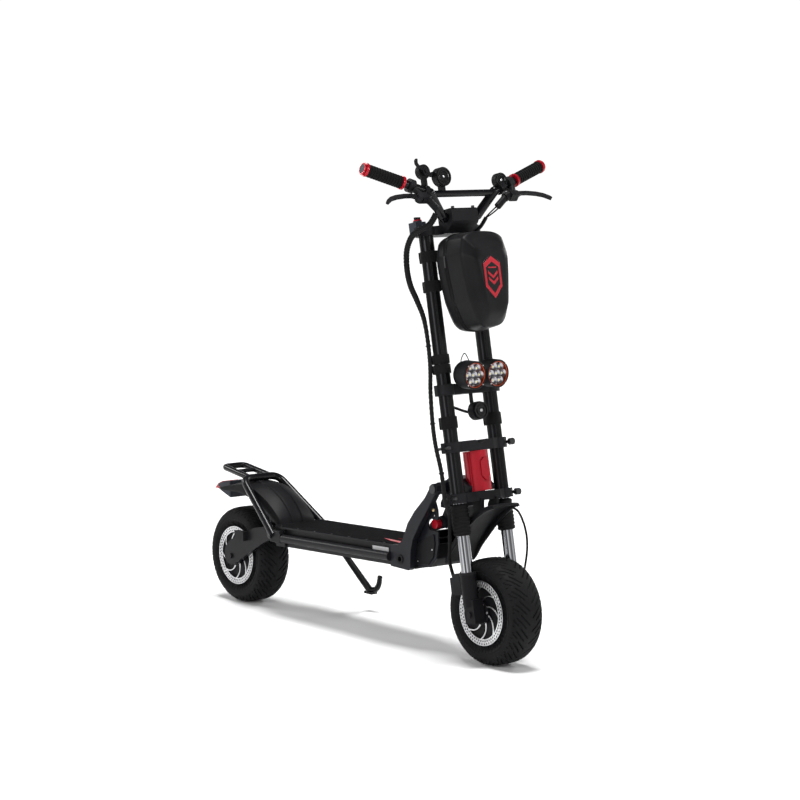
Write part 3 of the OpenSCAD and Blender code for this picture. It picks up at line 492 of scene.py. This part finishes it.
# ---------- brake discs ----------
def disc(name, centre, body, node_name, y=-50.5):
    """A drilled ring on a floating carrier: staggered holes, swirled arms and bolts."""
    def put(r, a, dy=0.0):
        """A point of the disc at radius r and angle a, dy along the axle."""
        return at(centre[0] + r * math.sin(a), y + dy, centre[2] + r * math.cos(a))

    verts, faces = [], []
    cells = 54
    rows = [(67.8, 69.2, 0), (69.2, 76.6, 1), (76.6, 84.0, 1), (84.0, 84.9, 0)]
    for row, (r0, r1, drilled) in enumerate(rows):
        shift = 0.5 * (row % 2)
        for c in range(cells):
            a0 = 2 * math.pi * (c + shift) / cells
            a1 = 2 * math.pi * (c + 1 + shift) / cells
            am, rm = (a0 + a1) / 2, (r0 + r1) / 2
            rim = [(r0, a0), (r0, am), (r0, a1), (rm, a1), (r1, a1), (r1, am), (r1, a0), (rm, a0)]
            n = len(verts)
            verts += [put(r, a) for r, a in rim]
            if drilled:
                for k in range(8):
                    t = math.radians(225 + 45 * k)
                    verts.append(put(rm + 2.85 * math.sin(t), am + 2.85 * math.cos(t) / rm))
                faces += [(n + k, n + (k + 1) % 8, n + 8 + (k + 1) % 8, n + 8 + k) for k in range(8)]
            else:
                faces.append(tuple(range(n, n + 8)))
    ring = piece(name + "_ring", verts, faces, "disc", body, "disc_steel", smooth=30)
    wall = ring.modifiers.new("wall", "SOLIDIFY")
    wall.thickness = 0.002
    wall.offset = 0
    arms = []
    for i in range(8):
        a = math.radians(45 * i)
        left, right = [], []
        for j in range(9):
            t = j / 8
            r = 22 + 47.5 * t
            sweep = a + math.radians(46) * t ** 1.3
            wide = (3.2 - 1.4 * math.sin(math.pi * t)) / r
            left.append((r, sweep - wide))
            right.append((r, sweep + wide))
        outline = left + right[::-1]
        arms.append(prism_mesh(outline, -1.1, 1.1, put))
    piece(name + "_arms", *join(arms), "disc", body, "disc_steel", bevel=0.3)
    face = Vector((0, -1, 0))
    o = at(centre[0], y, centre[2])
    piece(name + "_carrier", *lathe_mesh([(15, -1.4), (30, -1.4), (30.5, -0.8), (30.5, 0.9), (30, 1.5), (20, 1.6),
                                          (15, 1.4)], o, face, 72), "cast", body, "cast_black")
    bolts = []
    for i in range(6):
        b = put(25, math.radians(60 * i + 20))
        bolts.append(lathe_mesh([(0.01, 2.9), (1.5, 2.9), (1.7, 2.3), (3.0, 2.3), (3.2, 1.5), (0.01, 1.5)], b, face,
                                18))
    piece(name + "_bolts", *join(bolts), "steel", body, "steel")
    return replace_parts(ring, node_name)


disc("front_disc", FRONT_AXLE, "front_wheel", "front_rotor")
disc("rear_disc", REAR_AXLE, "rear_wheel", "rear_rotor")

# ---------- hoop and rack ----------
HOOP = [(-292, 97, 236), (-488, 62, 373), (-488, -62, 373), (-292, -97, 236)]
RACK = [(-488, 36, 373), (-621, 36, 391), (-621, -36, 391), (-488, -36, 373)]
hoop = rounded([at(*p) for p in HOOP], 30, 9)
rack = rounded([at(*p) for p in RACK], 17, 8)
o = piece("hoop_tube", *join([tube_mesh(hoop, 11, 28), tube_mesh(rack, 9, 24),
                              tube_mesh([at(-562, -36, 383), at(-562, 36, 383)], 6, 18)]), "tube", "chassis",
          "bracket_black")
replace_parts(o, "rear_hoop")
for side_name, sign in SIDES:
    piece("hoop_foot_" + side_name, *prism_mesh(
        [(-304, 220), (-300, 218), (-262, 218), (-256, 224), (-256, 244), (-262, 252), (-296, 252), (-304, 246)],
        84.2, 99.2, lambda a, b, h: at(a, sign * h, b)), "powder", "chassis", "bracket_black", bevel=1.5)


# ---------- mudguards ----------
def guard(name, profile, half, crown, lip, thick, ribs, body, node_name, slot, taper=None, dome=0):
    """A curved sheet along a side profile, crowned across and turned down at its edges, with raised ribs."""
    points = [Vector((x, 0, z)) * MM for x, z in profile]
    line = curve(points, 8)
    n = len(line)
    across = [-1, -0.985, -0.95, -0.85, -0.7, -0.5, -0.3, -0.1, 0.1, 0.3, 0.5, 0.7, 0.85, 0.95, 0.985, 1]
    for rib in ribs:
        across += [rib - 0.085, rib - 0.06, rib + 0.06, rib + 0.085]
    across = sorted(set(across))
    verts = []
    for i, p in enumerate(line):
        d = (line[min(i + 1, n - 1)] - line[max(i - 1, 0)]).normalized()
        normal = Vector((-d.z, 0, d.x))
        if normal.z < 0 or (abs(normal.z) < 0.3 and normal.x < 0 and d.z < 0):
            normal = -normal
        t = i / (n - 1)
        wide = half * (taper(t) if taper else 1)
        for a in across:
            edge = lip * max(0, (abs(a) - 0.95) / 0.05) * math.sin(math.pi * min(1, max(0.05, t))) ** 0.5
            drop = (crown + dome * math.sin(math.pi * t) ** 2) * a * a + edge
            raised = 2.6 if any(abs(a - rib) < 0.065 for rib in ribs) and 0.06 < t < 0.94 else 0
            verts.append(p + normal * ((raised - drop) * MM) + Vector((0, a * wide * MM, 0)))
    m = len(across)
    faces = [(i * m + k, i * m + k + 1, (i + 1) * m + k + 1, (i + 1) * m + k)
             for i in range(n - 1) for k in range(m - 1)]
    o = piece(name, verts, faces, "plastic", body, slot, smooth=38)
    wall = o.modifiers.new("wall", "SOLIDIFY")
    wall.thickness = thick * MM
    wall.offset = 0
    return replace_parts(o, node_name)


guard("mudguard_rear", [(-301, 240), (-302, 262), (-309, 282), (-332, 308), (-362, 331), (-402, 350), (-440, 360),
                        (-490, 360), (-540, 352), (-604, 337)], 62, 3, 30, 2.6, (-0.3, 0.3), "chassis",
      "rear_fender", "black_plastic", dome=15)
guard("mudguard_front", [(596, 424), (562, 416), (526, 396), (493, 368), (463, 335), (431, 295), (409, 252)],
      50, 3, 14, 7, (), "steering", "front_fender", "black_plastic", taper=lambda t: 0.86 + 0.14 * min(1, t * 3))
piece("guard_stay", *join([prism_mesh([(500, 374), (535, 402), (535, 436), (512, 436), (500, 412)], y0, y0 + 10,
                                      lambda a, b, h: at(a, h, b)) for y0 in (20, -30)]), "cast", "steering",
      "black_plastic", bevel=1)

# ---------- tail light ----------
tail_side = [(-600, 352), (-600, 300), (-640, 313), (-664, 322), (-664, 336), (-640, 345)]
o = piece("tail_body", *prism_mesh(tail_side, -29, 29, lambda a, b, h: at(a, h, b)), "slate", "chassis",
          "black_plastic", bevel=3)
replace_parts(o, "tail_housing")
lens_side = [(-632, 341.5), (-640, 346.4), (-664.5, 337), (-697, 320), (-694, 316.5), (-664.5, 321), (-648, 318)]
lens_shape = prism_mesh(lens_side, -28, 28, lambda a, b, h: at(a, h * (1 if a > -690 else 0.6), b))
o = piece("tail_red", *lens_shape, "red_lens", "chassis", "red_lens", bevel=2.5)
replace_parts(o, "tail_lens")

# ---------- neck ----------
LATCH = (376, 350)
SLOT_R = 14.8
# the near side's web is open at the front, round the latch knob
latch_slot = [(403.5, LATCH[1] - SLOT_R)]
for step in range(13):
    turn = math.radians(270 - 15 * step)
    latch_slot.append((LATCH[0] + SLOT_R * math.cos(turn), LATCH[1] + SLOT_R * math.sin(turn)))
latch_slot.append((402.5, LATCH[1] + SLOT_R))
for side_name, sign in SIDES:
    opening = latch_slot if sign < 0 else []
    web = [(300, 228), (372, 236), (396, 262), (404, 300)] + opening
    web += [(400, 392), (390, 414), (366, 392), (338, 356), (316, 322), (302, 290)]
    piece("neck_web_" + side_name, *prism_mesh(web, 61.5, 66.5, lambda a, b, h: at(a, sign * h, b)), "neck",
          "chassis", "neck_grey", bevel=1.0)
    piece("neck_panel_" + side_name, *prism_mesh(
        [(316, 236), (366, 242), (386, 264), (392, 300), (388, 326), (352, 310), (318, 290)], 67, 69.2,
        lambda a, b, h: at(a, sign * h, b)), "plastic", "chassis", "black_plastic", bevel=1)
    screws = []
    for x, z in ((324, 246), (382, 284), (392, 376)):
        screws.append(lathe_mesh([(0.01, 1.2), (0.9, 1.2), (1.1, 0.8), (1.9, 0.8), (2.1, 0), (0.01, 0)],
                                 at(x, sign * 69.2, z), Vector((0, sign, 0)), 16))
    piece("neck_screws_" + side_name, *join(screws), "steel", "chassis", "steel")
    hex_head = [(0.01, 4), (3, 4), (3.8, 3.2), (3.8, 1.6), (5, 1.4), (5, 0), (0.01, 0)]
    piece("neck_bolt_" + side_name, *lathe_mesh(hex_head, at(384, sign * 66.5, 390), Vector((0, sign, 0)), 6),
          "gold", "chassis", "steel")
piece("nose_front", *prism_mesh([(318, 226), (366, 234), (392, 260), (400, 300), (394, 300), (386, 264), (362, 242),
                                 (318, 234)], -62, 62, lambda a, b, h: at(a, h, b)), "plastic", "chassis",
      "black_plastic", bevel=1.5)

# ---------- side stand ----------
stand_top, stand_foot = at(*STAND_TOP), at(*STAND_FOOT)
lean = stand_foot - stand_top
leg = [stand_top + lean * 0.16, stand_top + lean * 0.5, stand_foot]
piece("stand_leg", *tube_mesh(leg, lambda t: 8.8 + 1.6 * t, 24), "tube", "stand", "frame_black")
hook = curve([stand_foot + at(-8, -1, 5), stand_foot + at(8, 1, 1), stand_foot + at(26, 3, 6),
              stand_foot + at(37, 4, 20), stand_foot + at(41, 4, 36), stand_foot + at(44, 4, 45)], 6)
piece("stand_hook", *tube_mesh(hook, lambda t: 9.4 - 2.6 * t, 20), "tube", "stand", "frame_black")

# ---------- grip ends ----------
BAR_IN, BAR_OUT = (78, 109, 1086), (58.3, 300, 1154)
for side_name, sign in SIDES:
    a = steer(BAR_IN[0], sign * BAR_IN[1], BAR_IN[2])
    b = steer(BAR_OUT[0], sign * BAR_OUT[1], BAR_OUT[2])
    out = (b - a).normalized()
    piece("grip_cap_" + side_name, *lathe_mesh([(0.01, 3.6), (6, 3.6), (11.5, 3.1), (12.2, 2.4), (0.01, 2.4)], b, out,
                                               40), "slate", "steering", "black_plastic")
    piece("grip_lip_" + side_name, *lathe_mesh([(12.3, 2.2), (12.6, 3.9), (14.2, 4.0), (15.3, 3.0), (15.3, 1.2),
                                                (12.3, 1.2)], b, out, 48), "red", "steering", "red_anodised")

# ---------- bag ----------
OUTLINE = [(47, 980), (69, 962), (80, 922), (79, 876), (68, 800), (50, 744), (33, 723)]
FACE = [(41, 954, 140), (47, 926, 160), (51, 900, 165.4), (47, 862, 165.8), (35, 784, 165.4), (29, 762, 160),
        (23, 746, 146)]
MIDDLE = 852


def shell(name, loops, body, node_name, creases):
    """A moulded half shell: loops of right-side points, mirrored, joined in order; the last loop is capped."""
    n = len(loops[0]) * 2
    verts, faces = [], []
    for loop in loops:
        verts += [steer(u, -y, w) for y, w, u in loop] + [steer(u, y, w) for y, w, u in reversed(loop)]
    for i in range(len(loops) - 1):
        for k in range(n):
            k2 = (k + 1) % n
            faces.append((i * n + k, i * n + k2, (i + 1) * n + k2, (i + 1) * n + k))
    last = (len(loops) - 1) * n
    for k in range(n // 2 - 1):
        faces.append((last + k, last + k + 1, last + n - 2 - k, last + n - 1 - k))
    mesh = bpy.data.meshes.new(name)
    mesh.from_pydata([tuple(v) for v in verts], [], faces)
    bm = bmesh.new()
    bm.from_mesh(mesh)
    bmesh.ops.recalc_face_normals(bm, faces=bm.faces)
    layer = bm.edges.layers.float.new("crease_edge")
    for e in bm.edges:
        a, b = sorted(v.index for v in e.verts)
        same = a // n == b // n
        loop_a = a // n
        if same and loop_a in creases and (abs(a - b) == 1 or abs(a - b) == n - 1):
            e[layer] = creases[loop_a]
        elif same:
            e[layer] = 0.25
        elif not same and (a % n) in (1, 2, n - 3, n - 2, 4, n - 5):
            e[layer] = 0.62
    bm.to_mesh(mesh)
    bm.free()
    o = bpy.data.objects.new(name, mesh)
    bpy.context.scene.collection.objects.link(o)
    mesh.materials.append(MAT["bag"])
    wall = o.modifiers.new("wall", "SOLIDIFY")
    wall.thickness = 0.003
    wall.offset = -1
    s = o.modifiers.new("subsurf", "SUBSURF")
    s.levels = s.render_levels = 3
    soften(o, 180)
    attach(o, body)
    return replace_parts(o, node_name)


def scaled(loop, k, u):
    """A bag loop scaled about its middle, at depth u."""
    return [(y * k, MIDDLE + (w - MIDDLE) * k, u) for y, w in loop]


shell("bag_front_shell", [scaled(OUTLINE, 0.985, 70.6), scaled(OUTLINE, 1.0, 73), scaled(OUTLINE, 0.985, 112),
                          [(y * 0.972, MIDDLE + (w - MIDDLE) * 0.972, 133 if i < 6 else 128)
                           for i, (y, w) in enumerate(OUTLINE)], FACE],
      "bag_door", "bag_front", {0: 1.0, 1: 0.6, 3: 0.45, 4: 0.55})
shell("bag_back_shell", [scaled(OUTLINE, 0.985, 69.4), scaled(OUTLINE, 1.0, 67), scaled(OUTLINE, 0.99, 42),
                         scaled(OUTLINE, 0.93, 29), scaled(OUTLINE, 0.86, 25.4)],
      "steering", "bag_back", {0: 1.0, 1: 0.6, 2: 0.3, 4: 0.5})


def round_outline(k, u, steps=5):
    """The bag outline as a closed smooth line at depth u."""
    pts = [(-y, w) for y, w in OUTLINE] + [(y, w) for y, w in reversed(OUTLINE)]
    line = [steer(u, y * k, MIDDLE + (w - MIDDLE) * k) for y, w in pts]
    closed = line + line[:3]
    out = []
    for i in range(1, len(line) + 1):
        a, b, c = closed[i - 1], closed[i], closed[i + 1]
        p0, p1 = (a + b) / 2, (b + c) / 2
        for j in range(steps):
            t = j / steps
            out.append(p0 * (1 - t) ** 2 + b * 2 * t * (1 - t) + p1 * t * t)
    out.append(out[0])
    return out


tube("zip_piping_front", round_outline(0.992, 75.2), 1.9, "rubber", "bag_door", "bag_shell", sides=10)
tube("zip_piping_back", round_outline(0.992, 64.8), 1.9, "rubber", "steering", "bag_shell", sides=10)
coil = round_outline(0.982, 69.9, steps=26)
tube("zip_coil", coil, lambda t: 1.5 + 0.45 * math.sin(t * 2 * math.pi * 115), "plastic", "steering", "bag_shell",
     sides=8)
pull_at = steer(70, -80.5, 918)
piece("zip_pull", *join([
    prism_mesh([(-3, -4), (3, -4), (4, 4), (-4, 4)], 0, 3.2, lambda a, b, h: pull_at + AHEAD * a * MM + UP * b * MM
               - LEFT * (h - 2) * MM),
    prism_mesh([(-2.4, -26), (2.4, -26), (3.2, -6), (2, 0), (-2, 0), (-3.2, -6)], 1.2, 3.0,
               lambda a, b, h: pull_at + AHEAD * a * MM + UP * b * MM - LEFT * (h - 1) * MM)]),
      "gunmetal", "steering", "steel", bevel=0.4)


# ---------- plain badges ----------
def badge(name, centre, place, k, body, slot):
    """A red six-sided plate with a dark inset and two plain chevrons."""
    hexagon = [(0, 56), (27, 38), (27, -20), (0, -50), (-27, -20), (-27, 38)]

    def put(a, b, h):
        return place(a * k, centre + b * k, h)

    def plate(f, lo, hi):
        return prism_mesh([(a * f, b * f) for a, b in hexagon], lo, hi, put)
    piece(name + "_rim", *plate(1.0, 0, 1.1), "gloss", body, slot, bevel=0.3)
    piece(name + "_field", *plate(0.93, 1.0, 1.7), "badge", body, slot, bevel=0.25)
    piece(name + "_inset", *plate(0.7, 1.6, 2.0), "gloss", body, slot, bevel=0.2)
    bars = [prism_mesh([(-14, t + 12), (0, t), (14, t + 12), (14, t + 5), (0, t - 7), (-14, t + 5)], 1.9, 2.5, put)
            for t in (6, -8)]
    bars.append(prism_mesh([(-12, 27), (12, 27), (12, 24), (-12, 24)], 1.9, 2.4, put))
    piece(name + "_bars", *join(bars), "badge", body, slot, bevel=0.2)


badge("bag_badge", 848, lambda a, b, h: steer(165.3 + h * 1.1, a - 8, b), 1.1, "bag_door", "red_plastic")


# ---------- straps ----------
def band(name, y, w, width, r, thick, body):
    """A hook-and-loop strap round a stem: a wrapped layer with an overlapping end."""
    turns = 1.18
    n = 64
    verts, faces = [], []
    profile = [(-width / 2, 0), (-width / 2, thick * 0.7), (-width / 2 + 1, thick), (0, thick * 1.08),
               (width / 2 - 1, thick), (width / 2, thick * 0.7), (width / 2, 0)]
    m = len(profile)
    for i in range(n + 1):
        t = i / n
        a = math.pi * 0.9 + 2 * math.pi * turns * t
        lift = thick * 1.02 * max(0, min(1, (turns * t - 0.9) / 0.1))
        end = 0.6 * max(0, (t - 0.97) / 0.03)
        for b, h in profile:
            rad = r + h + lift + end
            verts.append(steer(rad * math.cos(a), y + rad * math.sin(a), w + b))
    for i in range(n):
        for k in range(m):
            k2 = (k + 1) % m
            faces.append((i * m + k, i * m + k2, (i + 1) * m + k2, (i + 1) * m + k))
    faces.append(tuple(range(m)))
    faces.append(tuple(n * m + k for k in range(m - 1, -1, -1)))
    return piece(name, verts, faces, "webbing", body, "webbing", smooth=50)


band("strap_lamp_low", -STEM_Y, 637, 24, 19.5, 3.0, "steering")
band("strap_lamp_high", -STEM_Y, 663, 24, 19.5, 2.6, "steering")
for side_name, sign in SIDES:
    band("strap_low_" + side_name, sign * STEM_Y, 497, 32, 19.5, 2.9, "steering")
    for n, w in enumerate((853, 930)):
        band(f"strap_bag_{side_name}_{n}", sign * STEM_Y, w, 29, 19.5, 2.4, "steering")
        piece(f"strap_web_{side_name}_{n}", *prism_mesh(
            [(sign * (STEM_Y - 38), 22.2), (sign * (STEM_Y - 38), 24.3), (sign * (STEM_Y - 2), 24.3),
             (sign * (STEM_Y + 4), 22.6), (sign * (STEM_Y + 2), 20.6), (sign * (STEM_Y - 4), 22.0)],
            w - 14.2, w + 14.2, lambda a, b, h: steer(b, a, h)), "webbing", "steering", "webbing", bevel=0.5)
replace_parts(bpy.data.objects["strap_low_near"], "straps")

# ---------- instrument faces ----------
for face_name, u, y, w, r in (("dial", 90, -66, 1126, 24), ("pod_far", 87, 131, 1114, 19)):
    o = steer(u, y, w)
    ring = [(0.55, 0), (0.58, 1.6), (0.64, 1.8), (0.68, 0.3), (0.8, 0.3), (0.83, 2.4), (0.95, 2.6), (0.98, 0)]
    piece(face_name + "_ring", *lathe_mesh([(k * r, h) for k, h in ring], o, AHEAD, 56), "gloss", "steering",
          "black_plastic")
    piece(face_name + "_screw", *lathe_mesh([(0.01, 1.6), (1.6, 1.6), (2.6, 1.1), (3.2, 0), (0.01, 0)], o, AHEAD, 20),
          "steel", "steering", "steel")

# ---------- horn ----------
HORN_RINGS = [(0.01, 2.6), (5, 2.6), (6, 1.4), (9.5, 1.4), (10.5, 3.6), (13.5, 3.6), (14.5, 1.2), (18, 1.2),
              (19, 4.4), (22.4, 4.4), (23, 0.6), (0.01, 0.6)]
horn_face = steer(*HORN_FACE)
piece("horn_rings", *lathe_mesh(HORN_RINGS, horn_face, AHEAD, 64), "gloss", "steering", "black_plastic")
piece("horn_hub", *lathe_mesh([(0.01, 4.2), (3.4, 4.2), (4.2, 3.4), (4.4, 2.4), (0.01, 2.4)], horn_face, AHEAD,
                              24), "steel", "steering", "steel")

strap_line = curve([steer(20, -18, 518), steer(14, -34, 524), steer(4, -52, 534), steer(-4, -64, 540)], 8)
tube("horn_strap", strap_line, 3.6, "cast", "steering", "black_plastic", sides=14)
piece("key_collar", *lathe_mesh([(7.4, 23.2), (11.4, 23.2), (11.8, 24.6), (11.2, 26), (7.4, 26)],
                                steer(*KEY), UP, 40), "red", "steering", "red_plastic")

# ---------- lamps ----------
lamp = steer(27, 0, 614)


def lamp_at(x, y, z):
    """A point from the lamps' tilt axis."""
    return lamp + at(x, y, z)


for side_name, y in (("near", -38.5), ("far", 38.5)):
    ahead = Vector((1, 0, 0))
    cups = []
    chips = []
    for i in range(7):
        a = math.pi / 3 * i
        r = 0 if i == 6 else 20.4
        o = lamp_at(0, y + r * math.cos(a), 6 + r * math.sin(a))
        cups.append(lathe_mesh([(3.0, 48.6), (4.2, 49.2), (6.8, 51.4), (9.0, 54.2), (9.9, 54.6), (10.2, 54.0),
                                (9.6, 52.5), (4, 48.4)], o, ahead, 28))
        chips.append(lathe_mesh([(0.01, 50.6), (2.0, 50.2), (3.2, 49.0), (3.3, 48.4), (0.01, 48.4)], o, ahead, 20))
    piece("lamp_cups_" + side_name, *join(cups), "led", "lamps", "lens")
    piece("lamp_chips_" + side_name, *join(chips), "amber", "lamps", "lens")
    o = lamp_at(0, y, 6)
    piece("lamp_plate_" + side_name, *lathe_mesh([(0.01, 48.5), (31.5, 48.5), (31.5, 49.4), (30, 49.8), (0.01, 49.8)],
                                                 o, ahead, 72), "led", "lamps", "lens")
    piece("lamp_copper_" + side_name, *lathe_mesh(
        [(32.9, 50), (32.9, 57.2), (32.2, 58.3), (31.0, 58.1), (30.2, 56.2), (30.0, 50)], o, ahead, 72),
        "copper", "lamps", "red_plastic")
    piece("lamp_bezel_" + side_name, *lathe_mesh(
        [(33.0, 55), (33.0, 58.6), (34.0, 59.6), (35.6, 59.5), (37.0, 58.2), (37.2, 54), (33.0, 54)], o, ahead, 72),
        "cast", "lamps", "cast_black")
    bolts = []
    for i in range(4):
        a = math.pi / 4 + math.pi / 2 * i
        bo = lamp_at(0, y + 35 * math.cos(a), 6 + 35 * math.sin(a))
        bolts.append(lathe_mesh([(0.01, 60.2), (1.3, 60.1), (1.6, 59.2), (0.01, 59.2)], bo, ahead, 14))
    piece("lamp_screws_" + side_name, *join(bolts), "steel", "lamps", "steel")
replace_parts(bpy.data.objects["lamp_cups_near"], "lamp_lenses")
loop = curve([lamp_at(16, -52, 36), lamp_at(15, -50, 46), lamp_at(14, -42, 58), lamp_at(14, -38, 60),
              lamp_at(14, -33, 56), lamp_at(15, -26, 44), lamp_at(16, -24, 38)], 8)
tube("lamp_wire_loop", loop, 1.3, "tube", "lamps", "cable_black", sides=10)

# ---------- cables ----------
LOOM = [(85, -104, 1028), (66, -112, 1006), (36, -122, 996), (4, -126, 984), (-24, -125, 952), (-36, -122, 905),
        (-36, -117, 862), (-26, -110, 822), (-14, -104, 770), (-12, -102, 700), (-15, -103, 640), (-22, -106, 580),
        (-24, -110, 500), (-16, -115.5, 440), (-6, -115.5, 370), (-5, -115.5, 300), (-4, -107, 262)]
line = curve([steer(*p) for p in LOOM], 26)
o = tube("loom_sleeve", line, lambda t: (7.6 if t < 0.42 else 7.6 - 2.0 * min(1, (t - 0.42) / 0.12))
         + 0.4 * math.sin(t * 2 * math.pi * 95), "braid", "steering", "cable_black", sides=24)
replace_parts(o, "loom")
for n, (dy, du) in enumerate(((-7, 3), (6, -5))):
    tube(f"loom_wire_{n}", curve([steer(u + du, y + dy, w + 4) for u, y, w in LOOM[:6]], 14),
         lambda t: 3.2 * (1 - 0.5 * t), "rubber", "steering", "cable_black", sides=12)
for n, i in enumerate((9, 12, 14)):
    u, y, w = LOOM[i]
    piece(f"loom_tie_{n}", *lathe_mesh([(6.2, -2), (7.6, -1.6), (7.6, 1.6), (6.2, 2)], steer(u, y, w), UP, 24),
          "plastic", "steering", "cable_black")
HOSE = [(-4, -107, 268), (-17, -103, 220), (-38, -92, 180), (-58, -82, 140), (-62, -72, 99)]
line = curve([steer(*p) for p in HOSE], 12)
o = piece("front_brake_hose", *tube_mesh(line, 4.6, 16), "rubber", None, "cable_black")
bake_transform(o)
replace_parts(o, "front_hose")
MOTOR = [(6, 92, 262), (6, 118, 246), (4, 136, 200), (0, 138, 150), (-4, 122, 92), (-2, 98, 44), (4, 86, 22)]
line = curve([steer(*p) for p in MOTOR], 12)
o = piece("motor_cable", *tube_mesh(line, 3.0, 14), "rubber", None, "cable_black")
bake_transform(o)
sleeve = curve([steer(62, 84, 1020), steer(52, 72, 1000), steer(40, 58, 984), steer(18, 50, 960),
                steer(6, 44, 930)], 10)
tube("far_sleeve", sleeve, lambda t: 5.2 + 0.25 * math.sin(t * 2 * math.pi * 22), "braid", "steering", "cable_black",
     sides=16)
for n, dy in enumerate((-4, 4)):
    tube(f"far_hose_{n}", curve([steer(92, 112 + dy, 1050), steer(84, 104 + dy * 1.6, 1040),
                                 steer(74, 94 + dy * 1.4, 1030), steer(61, 83 + dy * 0.3, 1019)], 10), 1.9, "rubber",
         "steering", "cable_black", sides=10)

# ---------- springs ----------
EYE_TOP, EYE_LOW = (-372, 0, 296), (-396, 0, 208)
down = (at(*EYE_LOW) - at(*EYE_TOP)).normalized()
across = down.cross(LEFT).normalized()
long = math.dist(EYE_LOW, EYE_TOP)
for side_name, y in (("near", -22.6), ("far", 22.6)):
    pts = []
    for i in range(260):
        t = i / 259
        a = 2 * math.pi * 5.5 * t
        h = 18.3 + (long - 38.6) * min(1, max(0, (t - 0.06) / 0.88))
        pts.append(at(EYE_TOP[0], y, EYE_TOP[2]) + down * (h * MM) + (across * math.cos(a) + LEFT * math.sin(a))
                   * (17 * MM))
    o = tube("spring_" + side_name, pts, 2.5, "cast_spring", "shock_top", "spring_red", sides=12)
    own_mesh(o)
    if side_name == "near":
        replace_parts(o, "shock_springs")


# ---------- deck dressing ----------
def deck_bar(name, x0, x1, y0, y1, z, mat, slot, thick=0.8):
    """A thin strip along the deck, in the deck frame."""
    outline = [(x0, y0), (x1, y0), (x1, y1), (x0, y1)]
    return piece(name, *prism_mesh(outline, z, z + thick, deck), mat, "chassis", slot, bevel=0.2)


for n, y in enumerate((-30, -10, 10, 30)):
    deck_bar(f"mat_stripe_{n}", 470, 596, y - 1.6, y + 1.6, 59.0, "badge", "red_plastic", 1.0)
for side_name, sign in SIDES:
    wedge = [(444, sign * 40), (556, sign * 52), (556, sign * 68), (500, sign * 60)]
    piece("mat_wedge_" + side_name, *prism_mesh(wedge, 60.4, 61.4, deck), "badge", "chassis", "red_plastic",
          bevel=0.2)
piece("blank_plate", *prism_mesh([(440, 28), (510, 28), (510, 45), (440, 45)], 0, 0.9,
                                 lambda a, b, h: deck(a, -76.2 - h, b)), "label", "chassis", "black_plastic",
      bevel=0.3)


# ---------- camera, light, floor ----------
look_dir = Vector((-0.7744, 0.6224, -0.1132))
camera = bpy.data.objects.new("camera", bpy.data.cameras.new("camera"))
bpy.context.scene.collection.objects.link(camera)
camera.location = (5.3368, -4.1598, 1.4121)
camera.rotation_mode = "QUATERNION"
camera.rotation_quaternion = look_dir.to_track_quat("-Z", "Y")
camera.data.sensor_width = 36
camera.data.lens = 111.53
camera.data.clip_end = 60
bpy.context.scene.camera = camera


def light(name, place, aim, power, size):
    """A soft area light at place, turned towards aim."""
    data = bpy.data.lights.new(name, "AREA")
    data.energy = power
    data.shape = "RECTANGLE"
    data.size = size
    data.size_y = size * 0.6
    o = bpy.data.objects.new(name, data)
    o.location = place
    o.rotation_mode = "QUATERNION"
    o.rotation_quaternion = (Vector(aim) - Vector(place)).to_track_quat("-Z", "Y")
    bpy.context.scene.collection.objects.link(o)


def floor():
    """A plain pale floor at z = 0."""
    mesh = bpy.data.meshes.new("floor")
    s = FLOOR_HALF
    mesh.from_pydata([(-s, -s, 0), (s, -s, 0), (s, s, 0), (-s, s, 0)], [], [(0, 1, 2, 3)])
    o = bpy.data.objects.new("floor", mesh)
    bpy.context.scene.collection.objects.link(o)
    m = bpy.data.materials.new("floor_white")
    m.use_nodes = True
    shader = m.node_tree.nodes["Principled BSDF"]
    shader.inputs["Base Color"].default_value = (0.9, 0.9, 0.9, 1)
    shader.inputs["Roughness"].default_value = 0.6
    mesh.materials.append(m)


def sun(name, towards, power, spread):
    """A wide overhead sun; spread is its width in degrees."""
    data = bpy.data.lights.new(name, "SUN")
    data.energy = power
    data.angle = math.radians(spread)
    o = bpy.data.objects.new(name, data)
    o.location = (0, 0, 4)
    o.rotation_mode = "QUATERNION"
    o.rotation_quaternion = Vector(towards).to_track_quat("-Z", "Y")
    bpy.context.scene.collection.objects.link(o)


floor()
sun("overhead", (-0.02, 0.03, -1), 3.9, 24)
light("key", (1.6, -4.2, 2.6), (0, 0, 0.6), 60, 1.2)
light("front", (4.8, 1.6, 2.6), (0.3, 0, 0.6), 42, 1.0)
light("left", (0.5, 4.2, 2.6), (0, 0, 0.7), 55, 1.4)
light("back", (-4.0, -1.6, 2.8), (0, 0, 0.6), 45, 1.2)
world = bpy.data.worlds.new("studio")
world.use_nodes = True
sky, wires = world.node_tree.nodes, world.node_tree.links
place = sky.new("ShaderNodeTexCoord")
split = sky.new("ShaderNodeSeparateXYZ")
wires.new(place.outputs["Generated"], split.inputs["Vector"])
fade = sky.new("ShaderNodeMapRange")
fade.inputs["From Min"].default_value = 0.12
fade.inputs["From Max"].default_value = 0.5
fade.inputs["To Min"].default_value = 1.05
fade.inputs["To Max"].default_value = 0.1
wires.new(split.outputs["Z"], fade.inputs["Value"])
wires.new(fade.outputs["Result"], sky["Background"].inputs["Strength"])
sky["Background"].inputs["Color"].default_value = (1, 1, 1, 1)
bpy.context.scene.world = world
bpy.context.scene.view_settings.view_transform = "Standard"
